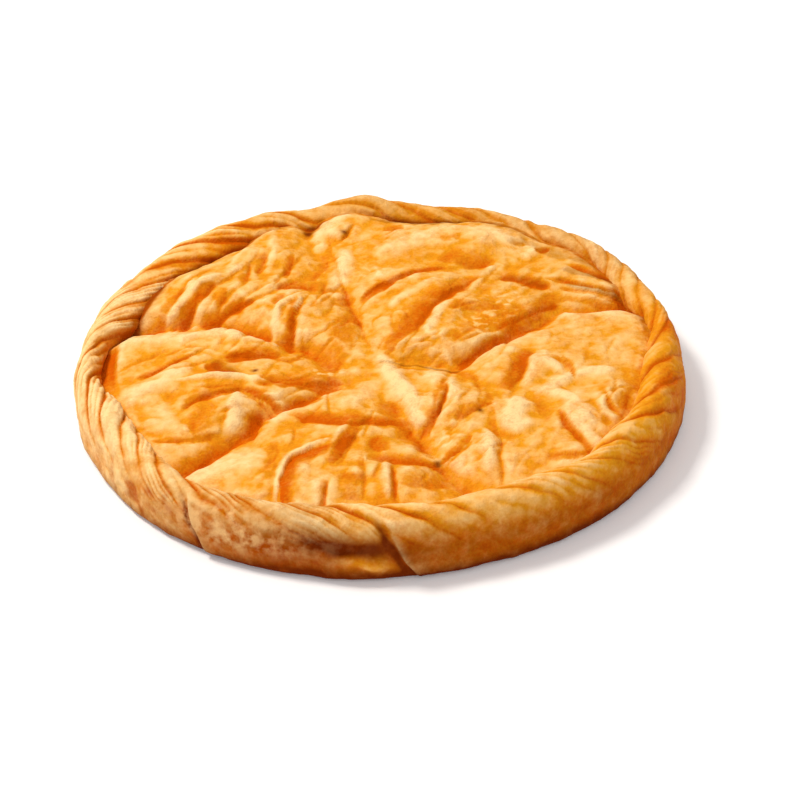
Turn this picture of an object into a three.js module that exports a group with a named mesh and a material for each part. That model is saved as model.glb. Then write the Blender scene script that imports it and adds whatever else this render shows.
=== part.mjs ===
// A round chicken pie of hand-stretched pastry, baked whole, as one solid: a flat foot, a plump wall,
// a rim rolled from the twisted edges of the sheets, and a puffed, wrinkled lid scored into portions.
// Millimetres, +Z up. The origin is under the middle of the pie, on the surface that it stands on.

import * as THREE from "three";
import { mergeGeometries, mergeVertices } from "three/addons/utils/BufferGeometryUtils.js";

// Section of the pie, from the foot up the wall, over the rim and down to the lid
const OUTER_RADIUS = 140;
const FOOT_RADIUS = 136;
const FOOT_ROUNDING = 3.5;
const BELLY_HEIGHT = 12;
const RIM_HEIGHT = 29;
const CROWN_RADIUS = 131;
const FLANK_LEVEL = 23; // foot of the rim's inner flank
const LID_RADIUS = 122;
const LID_LEVEL = 20; // along the scores

// How far outwards the lid's edge is set back, and how far the crown rises, going round the pie:
// [angle in degrees anticlockwise from +X, millimetres]
const LID_SETBACKS = [
  [0, 6], [25, 4.5], [48, 4], [66, 0], [76, -3], [92, 0], [118, -3],
  [145, -3], [175, 4], [200, 2], [300, 3], [320, 5], [345, 6],
];
const CROWN_RISES = [
  [0, 0], [20, 0], [38, 1.6], [52, -1.5], [64, -1], [79, -2], [92, 2.4], [104, -1.5],
  [128, 0.6], [200, 0], [217, -1.5], [232, -3], [248, -1.5], [262, 0], [286, 1.4], [312, 0],
];

// How finely the solid is faceted: cells across the lid, and rows from the foot to the lid
const LID_CELLS = 54;
const RIM_ROWS = 12;

// The outline isn't a true circle: [waves round the pie, size, phase in radians]
const OUTLINE_WAVES = [
  [2, 0.7, 0.6],
  [3, 0.6, 2.1],
  [5, 0.4, 4.0],
];

// Rolled rim: each strand climbs out of the lid, crosses the crown and dies out down the wall, and they
// all lean the same way. Where each one starts, and by how many degrees it has gone round when it has
// crossed the crown, both going round the pie:
const STRAND_ANGLES = [
  0, 14, 30, 41, 52, 64, 76, 88, 101, 112, 122, 136, 147,
  159, 172, 187, 203, 218, 232, 247, 267, 282, 297, 310, 327, 343,
];
const STRAND_LEANS = [
  [0, 13], [30, 14], [90, 23], [130, 25], [160, 22],
  [190, 16], [215, 17], [255, 27], [300, 23], [345, 15],
];
const STRAND_HEIGHT = 2.4;
const STRAND_SPREAD = [0, 0.15, 0.4, 0.8]; // way down from the lid: starts, full, still full, gone
const CROWN_EDGES = [0.09, 0.46]; // way down from the lid: where the crown starts and ends

// Outer sheets that end on the wall: where each one's edge is, in degrees anticlockwise from +X
const FLAP_ANGLES = [24, 66, 112, 151, 233.5, 271.5];
const FLAP_THICKNESS = 2.0;
const FLAP_LENGTH = 62;
const FLAP_LIP = 4;
const FLAP_LEAN = 6;
const FLAP_SPREAD = [0.4, 0.6, 0.85, 1];

// In front the roll hangs over a hollow: angle and reach in degrees, way down and reach, depth
const HOLLOW = [264, 9, 0.6, 0.1, 2.8];

// Lid: it lies higher at the back, and each portion puffs up between the scores, at first quickly and then
// slowly: [height, reach]. A score that has closed again in the oven counts as that far away.
const BACK_RISE = 4.6;
const PUFFS = [
  [4.5, 8],
  [3.5, 24],
];
const SCORE_ROUNDING = 3;
const EDGE_DROOP = 1.5;
const GUTTER_DEPTH = 2.4;
const GUTTER_WIDTH = 4;
const GUTTER_DEEPEST = 150; // degrees; across the pie there is none
const LID_MERGE = 0.2; // share of the way down the section in which the lid's relief dies out
const SCORE_CENTRE = [-1, -14];
const SCORES = [
  { closed: 0, places: [[20, -6], [34, -9], [44, -2], [56, 9], [75, 22], [88, 34], [118, 36]] },
  { closed: 5, places: [[-5, 8], [-9, 31], [-21, 66], [-28, 87], [-35, 117]] },
  { closed: 0, places: [[-22, -7], [-34, 8], [-47, 12], [-64, 24], [-86, 29], [-117, 25]] },
  { closed: 0, places: [[-20, -22], [-32, -35], [-52, -46], [-58, -57], [-86, -84]] },
  { closed: 2, places: [[3, -24], [10, -46], [20, -69], [26, -81], [41, -114]] },
];

// Pleats of the lid, portion by portion. Each rises from its left side and drops steeply to its right,
// seen from its start: [start x, start y, end x, end y, bow to the left, height, width]
const PLEATS = {
  backLeft: [
    [-92, 17, -80, 67, 2, 3.4, 7],
    [-84, 16, -54, 50, 2, 3.6, 8],
    [-55, 54, -31, 52, 2, 2.6, 7],
    [-42, 1, -34, 44, 2, 4.0, 6],
    [-44, 63, -42, 78, 0, 2.2, 6],
    [-59, 64, -56, 85, 0, 2.2, 6],
  ],
  backRight: [
    [-10, 36, 32, 65, 8, 3.6, 7],
    [8, -5, 42, 52, 6, 4.2, 10],
    [30, 40, 52, 59, 2, 2.2, 6],
    [62, 56, 85, 44, 1, 2.4, 7],
    [36, 30, 88, 33, -6, 2.2, 11],
    [30, 67, 64, 68, 2, 2.0, 9],
  ],
  left: [
    [-110, -19, -83, -2, 2, 2.6, 6],
    [-71, -2, -46, -5, 1, 3.8, 8],
    [-90, -43, -59, -31, 5, 3.4, 7],
    [-63, -29, -43, -53, 1, 3.4, 7],
    [-60, -70, -53, -45, 1, 2.8, 7],
    [-101, -65, -75, -65, -1, 2.0, 6],
  ],
  front: [
    [-36, -52, 8, -60, 1, 3.6, 7],
    [-43, -116, -40, -79, 1, 4.0, 6],
    [-42, -85, -25, -70, 3, 2.8, 8],
    [-21, -85, -10, -56, -1, 4.0, 6],
    [-2, -84, 29, -93, 1, 3.0, 6],
    [-26, -116, -25, -97, 0, 2.4, 6],
  ],
  right: [
    [21, -64, 29, -32, 0, 3.6, 6],
    [31, -62, 49, -44, 3, 2.2, 8],
    [58, -34, 69, -7, 1, 3.4, 7],
    [71, -12, 90, -28, 6, 2.0, 6],
    [48, -107, 49, -70, 0, 2.0, 6],
    [80, -54, 92, -87, 0, 2.0, 6],
  ],
};
const PLEAT_LEE = 0.5; // width of the steep side against the other
const PLEAT_TROUGH = 0.45; // depth of the trough at its foot against the pleat's height

const { smoothstep, lerp, degToRad, radToDeg, euclideanModulo } = THREE.MathUtils;
const bump = (distance, width) => Math.exp(-((distance / width) ** 2));
const spread = (down, [start, full, stillFull, gone]) =>
  smoothstep(down, start, full) * (1 - smoothstep(down, stillFull, gone));

// Radius at which a point of the true circle lies on the pie's uneven outline
function uneven(radius, angle) {
  let wobble = 0;
  for (const [waves, size, phase] of OUTLINE_WAVES) {
    wobble += size * Math.sin(waves * angle + phase);
  }
  return radius * (1 + (wobble * radius) / OUTER_RADIUS ** 2);
}

// Height that one pleat adds to the lid at a point
function pleatHeight(x, y, [startX, startY, endX, endY, bow, height, width]) {
  const length = Math.hypot(endX - startX, endY - startY);
  const wayX = (endX - startX) / length;
  const wayY = (endY - startY) / length;
  const share = ((x - startX) * wayX + (y - startY) * wayY) / length;
  if (share <= 0 || share >= 1) return 0;
  const aside = (y - startY) * wayX - (x - startX) * wayY - 4 * bow * share * (1 - share);
  const crest = bump(aside, aside > 0 ? width : PLEAT_LEE * width);
  const trough = PLEAT_TROUGH * bump(aside + width, PLEAT_LEE * width);
  return height * Math.sqrt(Math.sin(Math.PI * share)) * (crest - trough);
}

// Value at an angle, from a table of [angle in degrees, value] that goes once round the pie from 0
function byAngle(table, angle) {
  const at = euclideanModulo(angle, 360);
  const last = table.findLastIndex(([start]) => start <= at);
  const [start, value] = table[last];
  const [end, nextValue] = table[last + 1] ?? [360, table[0][1]];
  return lerp(value, nextValue, (at - start) / (end - start));
}

// The scores as curves, and how far a point of the lid is from the nearest
const scoreLines = SCORES.map(({ closed, places }) => {
  const points = [SCORE_CENTRE, ...places].map(([x, y]) => new THREE.Vector2(x, y));
  return { closed, points: new THREE.SplineCurve(points).getSpacedPoints(60) };
});

function distanceToScore(x, y) {
  const here = new THREE.Vector2(x, y);
  const distances = scoreLines.map(({ closed, points }) =>
    Math.hypot(closed, Math.min(...points.map((point) => here.distanceTo(point)))),
  );
  return Math.min(...distances);
}

// Height of the lid at a point that far inside its edge: puffed portions, pleats, and the gutter at the rim
function lidHeight(x, y, inside) {
  const away = Math.hypot(distanceToScore(x, y), SCORE_ROUNDING) - SCORE_ROUNDING;
  const puff = PUFFS.reduce((sum, [height, reach]) => sum + height * (1 - Math.exp(-away / reach)), 0);
  const deep = 0.5 + 0.5 * Math.cos(Math.atan2(y, x) - degToRad(GUTTER_DEEPEST));
  const edge = (EDGE_DROOP + GUTTER_DEPTH * deep) * bump(inside, GUTTER_WIDTH);
  const pleats = Object.values(PLEATS).flat().reduce((sum, pleat) => sum + pleatHeight(x, y, pleat), 0);
  return LID_LEVEL + (BACK_RISE * y) / LID_RADIUS + puff + pleats - edge;
}

// How far the rim's surface stands out: the rounded backs of its twisted strands.
// The angle is in degrees, and down goes from 0 at the lid to 1 at the foot.
function strandRelief(angle, down) {
  const crossed = (down - CROWN_EDGES[0]) / (CROWN_EDGES[1] - CROWN_EDGES[0]);
  const start = euclideanModulo(angle - byAngle(STRAND_LEANS, angle) * crossed, 360);
  const last = STRAND_ANGLES.findLastIndex((edge) => edge <= start);
  const next = STRAND_ANGLES[last + 1] ?? 360;
  const across = (start - STRAND_ANGLES[last]) / (next - STRAND_ANGLES[last]);
  return STRAND_HEIGHT * spread(down, STRAND_SPREAD) * (1 - (2 * across - 1) ** 2 - 1 / 3);
}

// How far the wall stands out: sheets that overlap like shingles, each with its edge towards the last,
// and the hollow in front
function flapRelief(angle, down) {
  let relief = 0;
  for (const edge of FLAP_ANGLES) {
    const past = degToRad(euclideanModulo(angle - edge - FLAP_LEAN * (down - 0.5), 360)) * OUTER_RADIUS;
    const standing = smoothstep(past, 0, FLAP_LIP) * (1 - smoothstep(past, FLAP_LIP, FLAP_LENGTH));
    relief += FLAP_THICKNESS * standing;
  }
  const [middle, reach, level, levelReach, depth] = HOLLOW;
  const hollow = bump(euclideanModulo(angle, 360) - middle, reach) * bump(down - level, levelReach);
  return spread(down, FLAP_SPREAD) * relief - depth * hollow;
}

// Section from the foot, round the belly and the crown, to the lid
const QUARTER = Math.PI / 2;
const SHOULDER = [OUTER_RADIUS - CROWN_RADIUS, RIM_HEIGHT - BELLY_HEIGHT];
const INNER_FLANK = [CROWN_RADIUS - LID_RADIUS, RIM_HEIGHT - FLANK_LEVEL];
const section = new THREE.Path()
  .moveTo(FOOT_RADIUS, 0)
  .absellipse(FOOT_RADIUS, FOOT_ROUNDING, OUTER_RADIUS - FOOT_RADIUS, FOOT_ROUNDING, -QUARTER, 0)
  .lineTo(OUTER_RADIUS, BELLY_HEIGHT)
  .absellipse(CROWN_RADIUS, BELLY_HEIGHT, ...SHOULDER, 0, QUARTER)
  .absellipse(CROWN_RADIUS, FLANK_LEVEL, ...INNER_FLANK, QUARTER, 2 * QUARTER);

// Moves every vertex of a geometry to where place() puts it, and keeps nothing but the places
function shaped(geometry, place) {
  const { position, uv } = geometry.attributes;
  const point = new THREE.Vector3();
  for (let i = 0; i < position.count; i++) {
    place(point.fromBufferAttribute(position, i), uv.getY(i));
    position.setXYZ(i, point.x, point.y, point.z);
  }
  return geometry.deleteAttribute("uv").deleteAttribute("normal");
}

// Lid: a square sheet of even cells, drawn out to a disc
function lid() {
  return shaped(new THREE.PlaneGeometry(2, 2, LID_CELLS, LID_CELLS), (point) => {
    const { x, y } = point;
    const wide = Math.abs(x) >= Math.abs(y);
    const turn = (Math.PI / 4) * (wide ? y / (x || 1) : x / y);
    const reach = (wide ? x : y) * LID_RADIUS;
    const [main, other] = [reach * Math.cos(turn), reach * Math.sin(turn)];
    point.set(wide ? main : other, wide ? other : main, 0);
    const radius = Math.hypot(point.x, point.y);
    const angle = Math.atan2(point.y, point.x);
    const setback = byAngle(LID_SETBACKS, radToDeg(angle)) * (radius / LID_RADIUS) ** 3;
    point.setLength(uneven(radius + setback, angle));
    point.z = lidHeight(point.x, point.y, LID_RADIUS - radius);
  });
}

// Rim and wall: the section turned round the pie, then pushed out by strands and flaps
function rim() {
  const turned = new THREE.LatheGeometry(section.getSpacedPoints(RIM_ROWS), 4 * LID_CELLS);
  return shaped(turned.rotateX(Math.PI / 2), (point, climb) => {
    const angle = Math.atan2(point.y, point.x);
    const degrees = radToDeg(angle);
    const down = 1 - climb;
    const out = Math.hypot(point.x, point.y) - CROWN_RADIUS;
    const up = point.z - BELLY_HEIGHT;
    const relief = (strandRelief(degrees, down) + flapRelief(degrees, down)) / Math.hypot(out, up);
    const setback = byAngle(LID_SETBACKS, degrees) * (1 - smoothstep(down, 0, CROWN_EDGES[1]));
    const radius = uneven(CROWN_RADIUS + setback + out * (1 + relief), angle);
    const rise = byAngle(CROWN_RISES, degrees) * smoothstep(point.z, BELLY_HEIGHT, RIM_HEIGHT);
    const inLid = 1 - smoothstep(down, 0, LID_MERGE);
    const height = point.z + up * relief + (1 - inLid) * rise;
    point.set(radius * Math.cos(angle), radius * Math.sin(angle), height);
    point.z += inLid * (lidHeight(point.x, point.y, 0) - FLANK_LEVEL);
  });
}

// Foot: the flat underside
function foot() {
  return shaped(new THREE.CircleGeometry(FOOT_RADIUS, 4 * LID_CELLS).rotateX(Math.PI), (point) => {
    const angle = Math.atan2(point.y, point.x);
    point.setZ(0).setLength(uneven(point.length(), angle));
  });
}

// Joins the three surfaces along their shared edges and centres the pie over the origin
function pieGeometry() {
  const joined = mergeVertices(mergeGeometries([lid(), rim(), foot()]), 1e-3);
  joined.computeVertexNormals();
  joined.computeBoundingBox();
  const middle = joined.boundingBox.getCenter(new THREE.Vector3());
  return joined.translate(-middle.x, -middle.y, 0);
}

const crust = new THREE.MeshStandardMaterial({ color: 0xe9a24f, roughness: 0.6, metalness: 0 });
const pie = new THREE.Mesh(pieGeometry(), crust);
pie.name = "pie";

const chickenPie = new THREE.Group();
chickenPie.add(pie);

export default chickenPie;
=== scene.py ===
# %% [markdown]
# # A chicken pie in thin pastry
# The pie is baked whole from hand-stretched sheets: a puffed lid with pleats, scored into portions,
# inside a rim that is rolled from the twisted edges of the sheets. The imported solid is loaded first, and
# the pieces built below stand in for it.

# %% Load the frame
import math

import bmesh
import bpy
import numpy as np
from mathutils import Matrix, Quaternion, Vector, noise


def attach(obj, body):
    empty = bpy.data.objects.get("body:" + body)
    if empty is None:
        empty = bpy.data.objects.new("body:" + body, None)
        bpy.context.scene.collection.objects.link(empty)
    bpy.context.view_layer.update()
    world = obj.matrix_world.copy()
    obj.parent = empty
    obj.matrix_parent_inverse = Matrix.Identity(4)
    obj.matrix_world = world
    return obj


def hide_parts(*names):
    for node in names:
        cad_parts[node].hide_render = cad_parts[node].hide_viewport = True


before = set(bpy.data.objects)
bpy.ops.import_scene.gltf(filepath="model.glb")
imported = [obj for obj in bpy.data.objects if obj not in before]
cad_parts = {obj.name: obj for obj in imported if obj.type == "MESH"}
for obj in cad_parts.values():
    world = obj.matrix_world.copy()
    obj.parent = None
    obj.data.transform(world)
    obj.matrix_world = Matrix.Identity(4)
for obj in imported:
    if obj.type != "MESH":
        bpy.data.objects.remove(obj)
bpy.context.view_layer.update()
MM = 0.001

# %% [markdown]
# ## Where the camera stands
# The pie is seen from the front, from a metre away and about 34 degrees above the table. The camera aims
# at the middle of the foot. A small lens shift puts that point where the picture has it, and a slight
# roll levels the pie the way it is seen there.

# %% Camera
PICTURE_SIDE = 800
FOOT_MIDDLE_PIXEL = (378.7, 392.5)
CAMERA_DISTANCE = 1000 * MM
CAMERA_ELEVATION = math.radians(33.83)
CAMERA_ROLL = math.radians(-1.69)
LENS = 96.2


def add_camera():
    """The camera at the picture's angle, aimed at the middle of the pie's foot."""
    data = bpy.data.cameras.new("camera")
    data.lens = LENS
    data.shift_x = (PICTURE_SIDE / 2 - FOOT_MIDDLE_PIXEL[0]) / PICTURE_SIDE
    data.shift_y = (FOOT_MIDDLE_PIXEL[1] - PICTURE_SIDE / 2) / PICTURE_SIDE
    camera = bpy.data.objects.new("camera", data)
    back = Vector((0, -math.cos(CAMERA_ELEVATION), math.sin(CAMERA_ELEVATION)))
    camera.location = back * CAMERA_DISTANCE
    camera.rotation_mode = "QUATERNION"
    aim = (-back).to_track_quat("-Z", "Y")
    camera.rotation_quaternion = aim @ Quaternion((0, 0, 1), CAMERA_ROLL)
    bpy.context.scene.collection.objects.link(camera)
    return camera


bpy.context.scene.camera = add_camera()
print("camera at", [round(c, 3) for c in bpy.context.scene.camera.location])

# %% [markdown]
# ## The table
# The pie stands on a plain pale table. A plane with a shadow-catching trick could stand in for it, but a
# real table top is simpler and also throws light back at the wall of the pie. It glows a little, which is
# painted light: it keeps the table nearly white and lifts the pie's shadow on it.

# %% Table
TABLE_SIDE = 6.0
TABLE_COLOUR = (0.88, 0.9, 0.96)
TABLE_ROUGHNESS = 0.6
TABLE_GLOW = 0.12


def table_material():
    """A pale dull surface that glows a little."""
    material = bpy.data.materials.new("pale_table")
    material.use_nodes = True
    shader = material.node_tree.nodes["Principled BSDF"]
    shader.inputs["Base Color"].default_value = (*TABLE_COLOUR, 1)
    shader.inputs["Roughness"].default_value = TABLE_ROUGHNESS
    shader.inputs["Emission Color"].default_value = (*TABLE_COLOUR, 1)
    shader.inputs["Emission Strength"].default_value = TABLE_GLOW
    return material


def add_table():
    """A wide flat table top at the height of the pie's foot."""
    bm = bmesh.new()
    bmesh.ops.create_grid(bm, x_segments=1, y_segments=1, size=TABLE_SIDE / 2)
    mesh = bpy.data.meshes.new("floor")
    bm.to_mesh(mesh)
    bm.free()
    mesh.materials.append(table_material())
    floor = bpy.data.objects.new("floor", mesh)
    bpy.context.scene.collection.objects.link(floor)


add_table()
print("table:", TABLE_SIDE, "m wide")

# %% [markdown]
# ## Light
# A warm soft key light stands high at the back left, a weak broad fill in front, and an even pale sky all
# round. The key gives the pleats their bright left sides and puts the pie's shadow on its right. The fill
# keeps the wall in front from going black.

# %% Lights
KEY_PLACE = Vector((-0.88, 0.36, 1.6))
KEY_SIZE = 0.4
KEY_POWER = 24.3
FILL_PLACE = Vector((0.3, -1.4, 1.1))
FILL_SIZE = 1.2
FILL_POWER = 3.6
LAMP_COLOUR = (1.0, 0.93, 0.82)
SKY_COLOUR = (1.0, 0.96, 0.89)
SKY_STRENGTH = 0.62


def add_lamp(name, place, size, power):
    """One square soft box, turned towards the pie."""
    data = bpy.data.lights.new(name, "AREA")
    data.size = size
    data.energy = power
    data.color = LAMP_COLOUR
    lamp = bpy.data.objects.new(name, data)
    lamp.location = place
    lamp.rotation_mode = "QUATERNION"
    lamp.rotation_quaternion = (-place).to_track_quat("-Z", "Y")
    bpy.context.scene.collection.objects.link(lamp)


def add_sky():
    """An even pale light from all round."""
    world = bpy.data.worlds.new("sky")
    world.use_nodes = True
    background = world.node_tree.nodes["Background"]
    background.inputs["Color"].default_value = (*SKY_COLOUR, 1)
    background.inputs["Strength"].default_value = SKY_STRENGTH
    bpy.context.scene.world = world


add_lamp("key", KEY_PLACE, KEY_SIZE, KEY_POWER)
add_lamp("fill", FILL_PLACE, FILL_SIZE, FILL_POWER)
add_sky()
bpy.context.scene.view_settings.view_transform = "Standard"
print("key light", KEY_POWER, "W, fill", FILL_POWER, "W, sky", SKY_STRENGTH)

# %% [markdown]
# ## The lid as an even grid
# A lathe would put a pole in the middle of the lid, where its faces crowd together and every fold would
# fan out. So the lid starts as a square grid, drawn out to a disc: its cells stay even all over. It
# reaches a little under the rim, as the real sheet does.

# %% Lid grid
LID_CELLS = 308
LID_REACH = 132


def to_disc(x, y):
    """Where a point of the square from -1 to 1 lies on the disc of radius 1, with even cells."""
    if abs(x) >= abs(y):
        turn = math.pi / 4 * (y / x if x else 0)
        return x * math.cos(turn), x * math.sin(turn)
    turn = math.pi / 4 * x / y
    return y * math.sin(turn), y * math.cos(turn)


def lid_grid():
    """A flat round sheet of even cells, in millimetres."""
    bm = bmesh.new()
    bmesh.ops.create_grid(bm, x_segments=LID_CELLS, y_segments=LID_CELLS, size=1)
    for vert in bm.verts:
        x, y = to_disc(vert.co.x, vert.co.y)
        vert.co = (x * LID_REACH, y * LID_REACH, 0)
    return bm


lid = lid_grid()
flat = np.array([vert.co for vert in lid.verts])
lid_radius = np.hypot(flat[:, 0], flat[:, 1])
lid_degrees = np.degrees(np.arctan2(flat[:, 1], flat[:, 0]))
print("lid grid:", len(flat), "points,", round(2 * LID_REACH / LID_CELLS, 2), "mm apart")

# %% [markdown]
# ## Scores
# Before baking, the lid is scored from one point near its middle. The cuts could be modelled as edges of
# the mesh, but then the grid would have to follow them. A distance to the nearest score, worked out for
# every point, needs no such edges, and it can be made larger where a score has healed in the oven.

# %% Scores
SCORE_CENTRE = (-1, -17)
SCORES = {
    "right": [(20, -13), (34, -16), (44, -8), (56, 3), (75, 17), (88, 30), (118, 32)],
    "back": [(-5, 2), (-9, 27), (-21, 64), (-28, 86), (-33, 110)],
    "left": [(-22, -14), (-34, 2), (-47, 6), (-64, 19), (-86, 25), (-117, 20)],
    "front_left": [(-20, -29), (-32, -43), (-52, -55), (-58, -67), (-86, -95)],
    "front_right": [(3, -32), (10, -55), (20, -79), (26, -92), (36, -112)],
}
# how much further away a healed score counts, in millimetres, so that it is shallower
HEALED = {"right": 0, "back": 5, "left": 0, "front_left": 0, "front_right": 2}
CENTRE_HEALED = 8
CENTRE_REACH = 24


def bump(distance, width):
    """A bell of height 1."""
    return np.exp(-((distance / width) ** 2))


def distance_from(points, x, y):
    """Distance of each point from one place on the lid."""
    return np.hypot(points[:, 0] - x, points[:, 1] - y)


def distance_to_line(points, places):
    """Distance of each point from a line of straight stretches."""
    nearest = np.full(len(points), np.inf)
    for start, end in zip(places, places[1:]):
        start, end = np.array(start, float), np.array(end, float)
        way = end - start
        share = np.clip((points[:, :2] - start) @ way / (way @ way), 0, 1)
        nearest = np.minimum(nearest, np.hypot(*(points[:, :2] - start - share[:, None] * way).T))
    return nearest


def score_distance(points):
    """Distance of each point from the nearest score, larger where the score has healed."""
    centre = CENTRE_HEALED * bump(distance_from(points, *SCORE_CENTRE), CENTRE_REACH)
    return np.min([
        np.hypot(distance_to_line(points, [SCORE_CENTRE, *line]), HEALED[name] + centre)
        for name, line in SCORES.items()
    ], axis=0)


print("scores:", ", ".join(SCORES))

# %% [markdown]
# ## Puffs
# Between the scores each portion puffs up in the oven. The distance to the score gives that too: a narrow
# groove close to it, a quick rise beside it and a slow one further away. The lid also lies higher at the
# back.

# %% Puffs
# height of each rise, and the distance from a score in which it comes about
PUFFS = ((5.0, 5.5), (3.5, 24))
PUFF_ROUNDING = 1.2
BROAD_PUFFS = ((6.5, 14),)
BROAD_ROUNDING = 6
SCORE_DEPTH = 0.5
SCORE_WIDTH = 3.0
BACK_RISE = 5.0


def softened(distance, rounding):
    """A distance whose sharp corner at 0 is rounded off."""
    return np.sqrt(distance**2 + rounding**2) - rounding


def puffed(distance, puffs, rounding):
    """How high the lid is puffed up at that distance from a score, less the mean."""
    away = softened(distance, rounding)
    rise = sum(height * (1 - np.exp(-away / reach)) for height, reach in puffs)
    return rise - rise.mean()


tilt = BACK_RISE * flat[:, 1] / LID_REACH
print("the lid rises", 2 * BACK_RISE, "mm from front to back")

# %% [markdown]
# ## Places as they are seen
# All places on the lid are read off as if it were level, looking along the camera's line of sight, where
# a higher point seems to lie further back. So each point of the lid gets the place where it seems to lie,
# found in a few rounds because the puffs themselves depend on it. A little noise keeps strokes from being
# drawn with a ruler.

# %% Seen places
SIGHT_SLOPE = 1 / math.tan(CAMERA_ELEVATION)
SIGHT_ROUNDS = 4
# wavelength and size, in millimetres, and seed of each layer of noise
SIDE_WARPS = ((28, 2.0, 1), (12, 1.1, 2), (4.5, 0.4, 3))
BACK_WARPS = ((28, 2.0, 5), (12, 1.1, 6), (4.5, 0.4, 7))
SEED_STEPS = (7.3, 3.1, 5.7)


def wander(points, wavelength, seed):
    """Smooth noise from about -1 to 1, the same at each run."""
    shift = Vector([seed * step for step in SEED_STEPS])
    return np.array([noise.noise(Vector(point) / wavelength + shift) for point in points])


def layered_noise(points, layers):
    """The sum of several noises, each with its wavelength, size and seed."""
    return sum(size * wander(points, wavelength, seed) for wavelength, size, seed in layers)


straight = flat.copy()
straight[:, 0] += layered_noise(flat, SIDE_WARPS)
straight[:, 1] += layered_noise(flat, BACK_WARPS)
seen = straight.copy()
for _ in range(SIGHT_ROUNDS):
    to_score = score_distance(seen)
    broad_level = puffed(to_score, BROAD_PUFFS, BROAD_ROUNDING) + tilt
    seen[:, 1] = straight[:, 1] + SIGHT_SLOPE * broad_level
level = puffed(to_score, PUFFS, PUFF_ROUNDING) + tilt
relief = -SCORE_DEPTH * bump(to_score, SCORE_WIDTH)
print("lid level: from", round(level.min(), 1), "to", round(level.max(), 1), "mm")

# %% [markdown]
# ## Sculpting with measured strokes
# Relief could come from a noise texture alone, but this pie's folds have places of their own. So each is
# a stroke: a start, an end, how far it bows, and two numbers more for its height and width. A few helpers
# turn strokes into heights for all points at once, and the same strokes later say where the crust is pale
# or orange.

# %% Helpers for strokes
TAPER_PAST = 0.1
TAPER_FULL = 0.9


def smoothstep(value, low, high):
    """0 below low, 1 above high, and smooth in between."""
    share = np.clip((value - low) / (high - low), 0, 1)
    return share * share * (3 - 2 * share)


def along_stroke(points, stroke):
    """How far along a stroke each point is, from 0 to 1, and how far to the left of its bowed line."""
    start = np.array(stroke[0:2])
    way = np.array(stroke[2:4]) - start
    bow = stroke[4]
    length = np.hypot(*way)
    way = way / length
    rel = points[:, :2] - start
    share = rel @ way / length
    aside = rel @ np.array((-way[1], way[0])) - 4 * bow * share * (1 - share)
    return share, aside


def between_ends(share, past):
    """1 at a stroke's middle, sinking to 0 that share of its length past both ends."""
    inside = np.clip((share + past) / (1 + 2 * past), 0, 1)
    return 4 * inside * (1 - inside)


def taper(share):
    """1 over most of a stroke, with smooth ends."""
    return smoothstep(between_ends(share, TAPER_PAST), 0, TAPER_FULL)


print("a stroke's taper at its middle and its end:", np.round(taper(np.array((0.5, 1.0))), 2))
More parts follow.
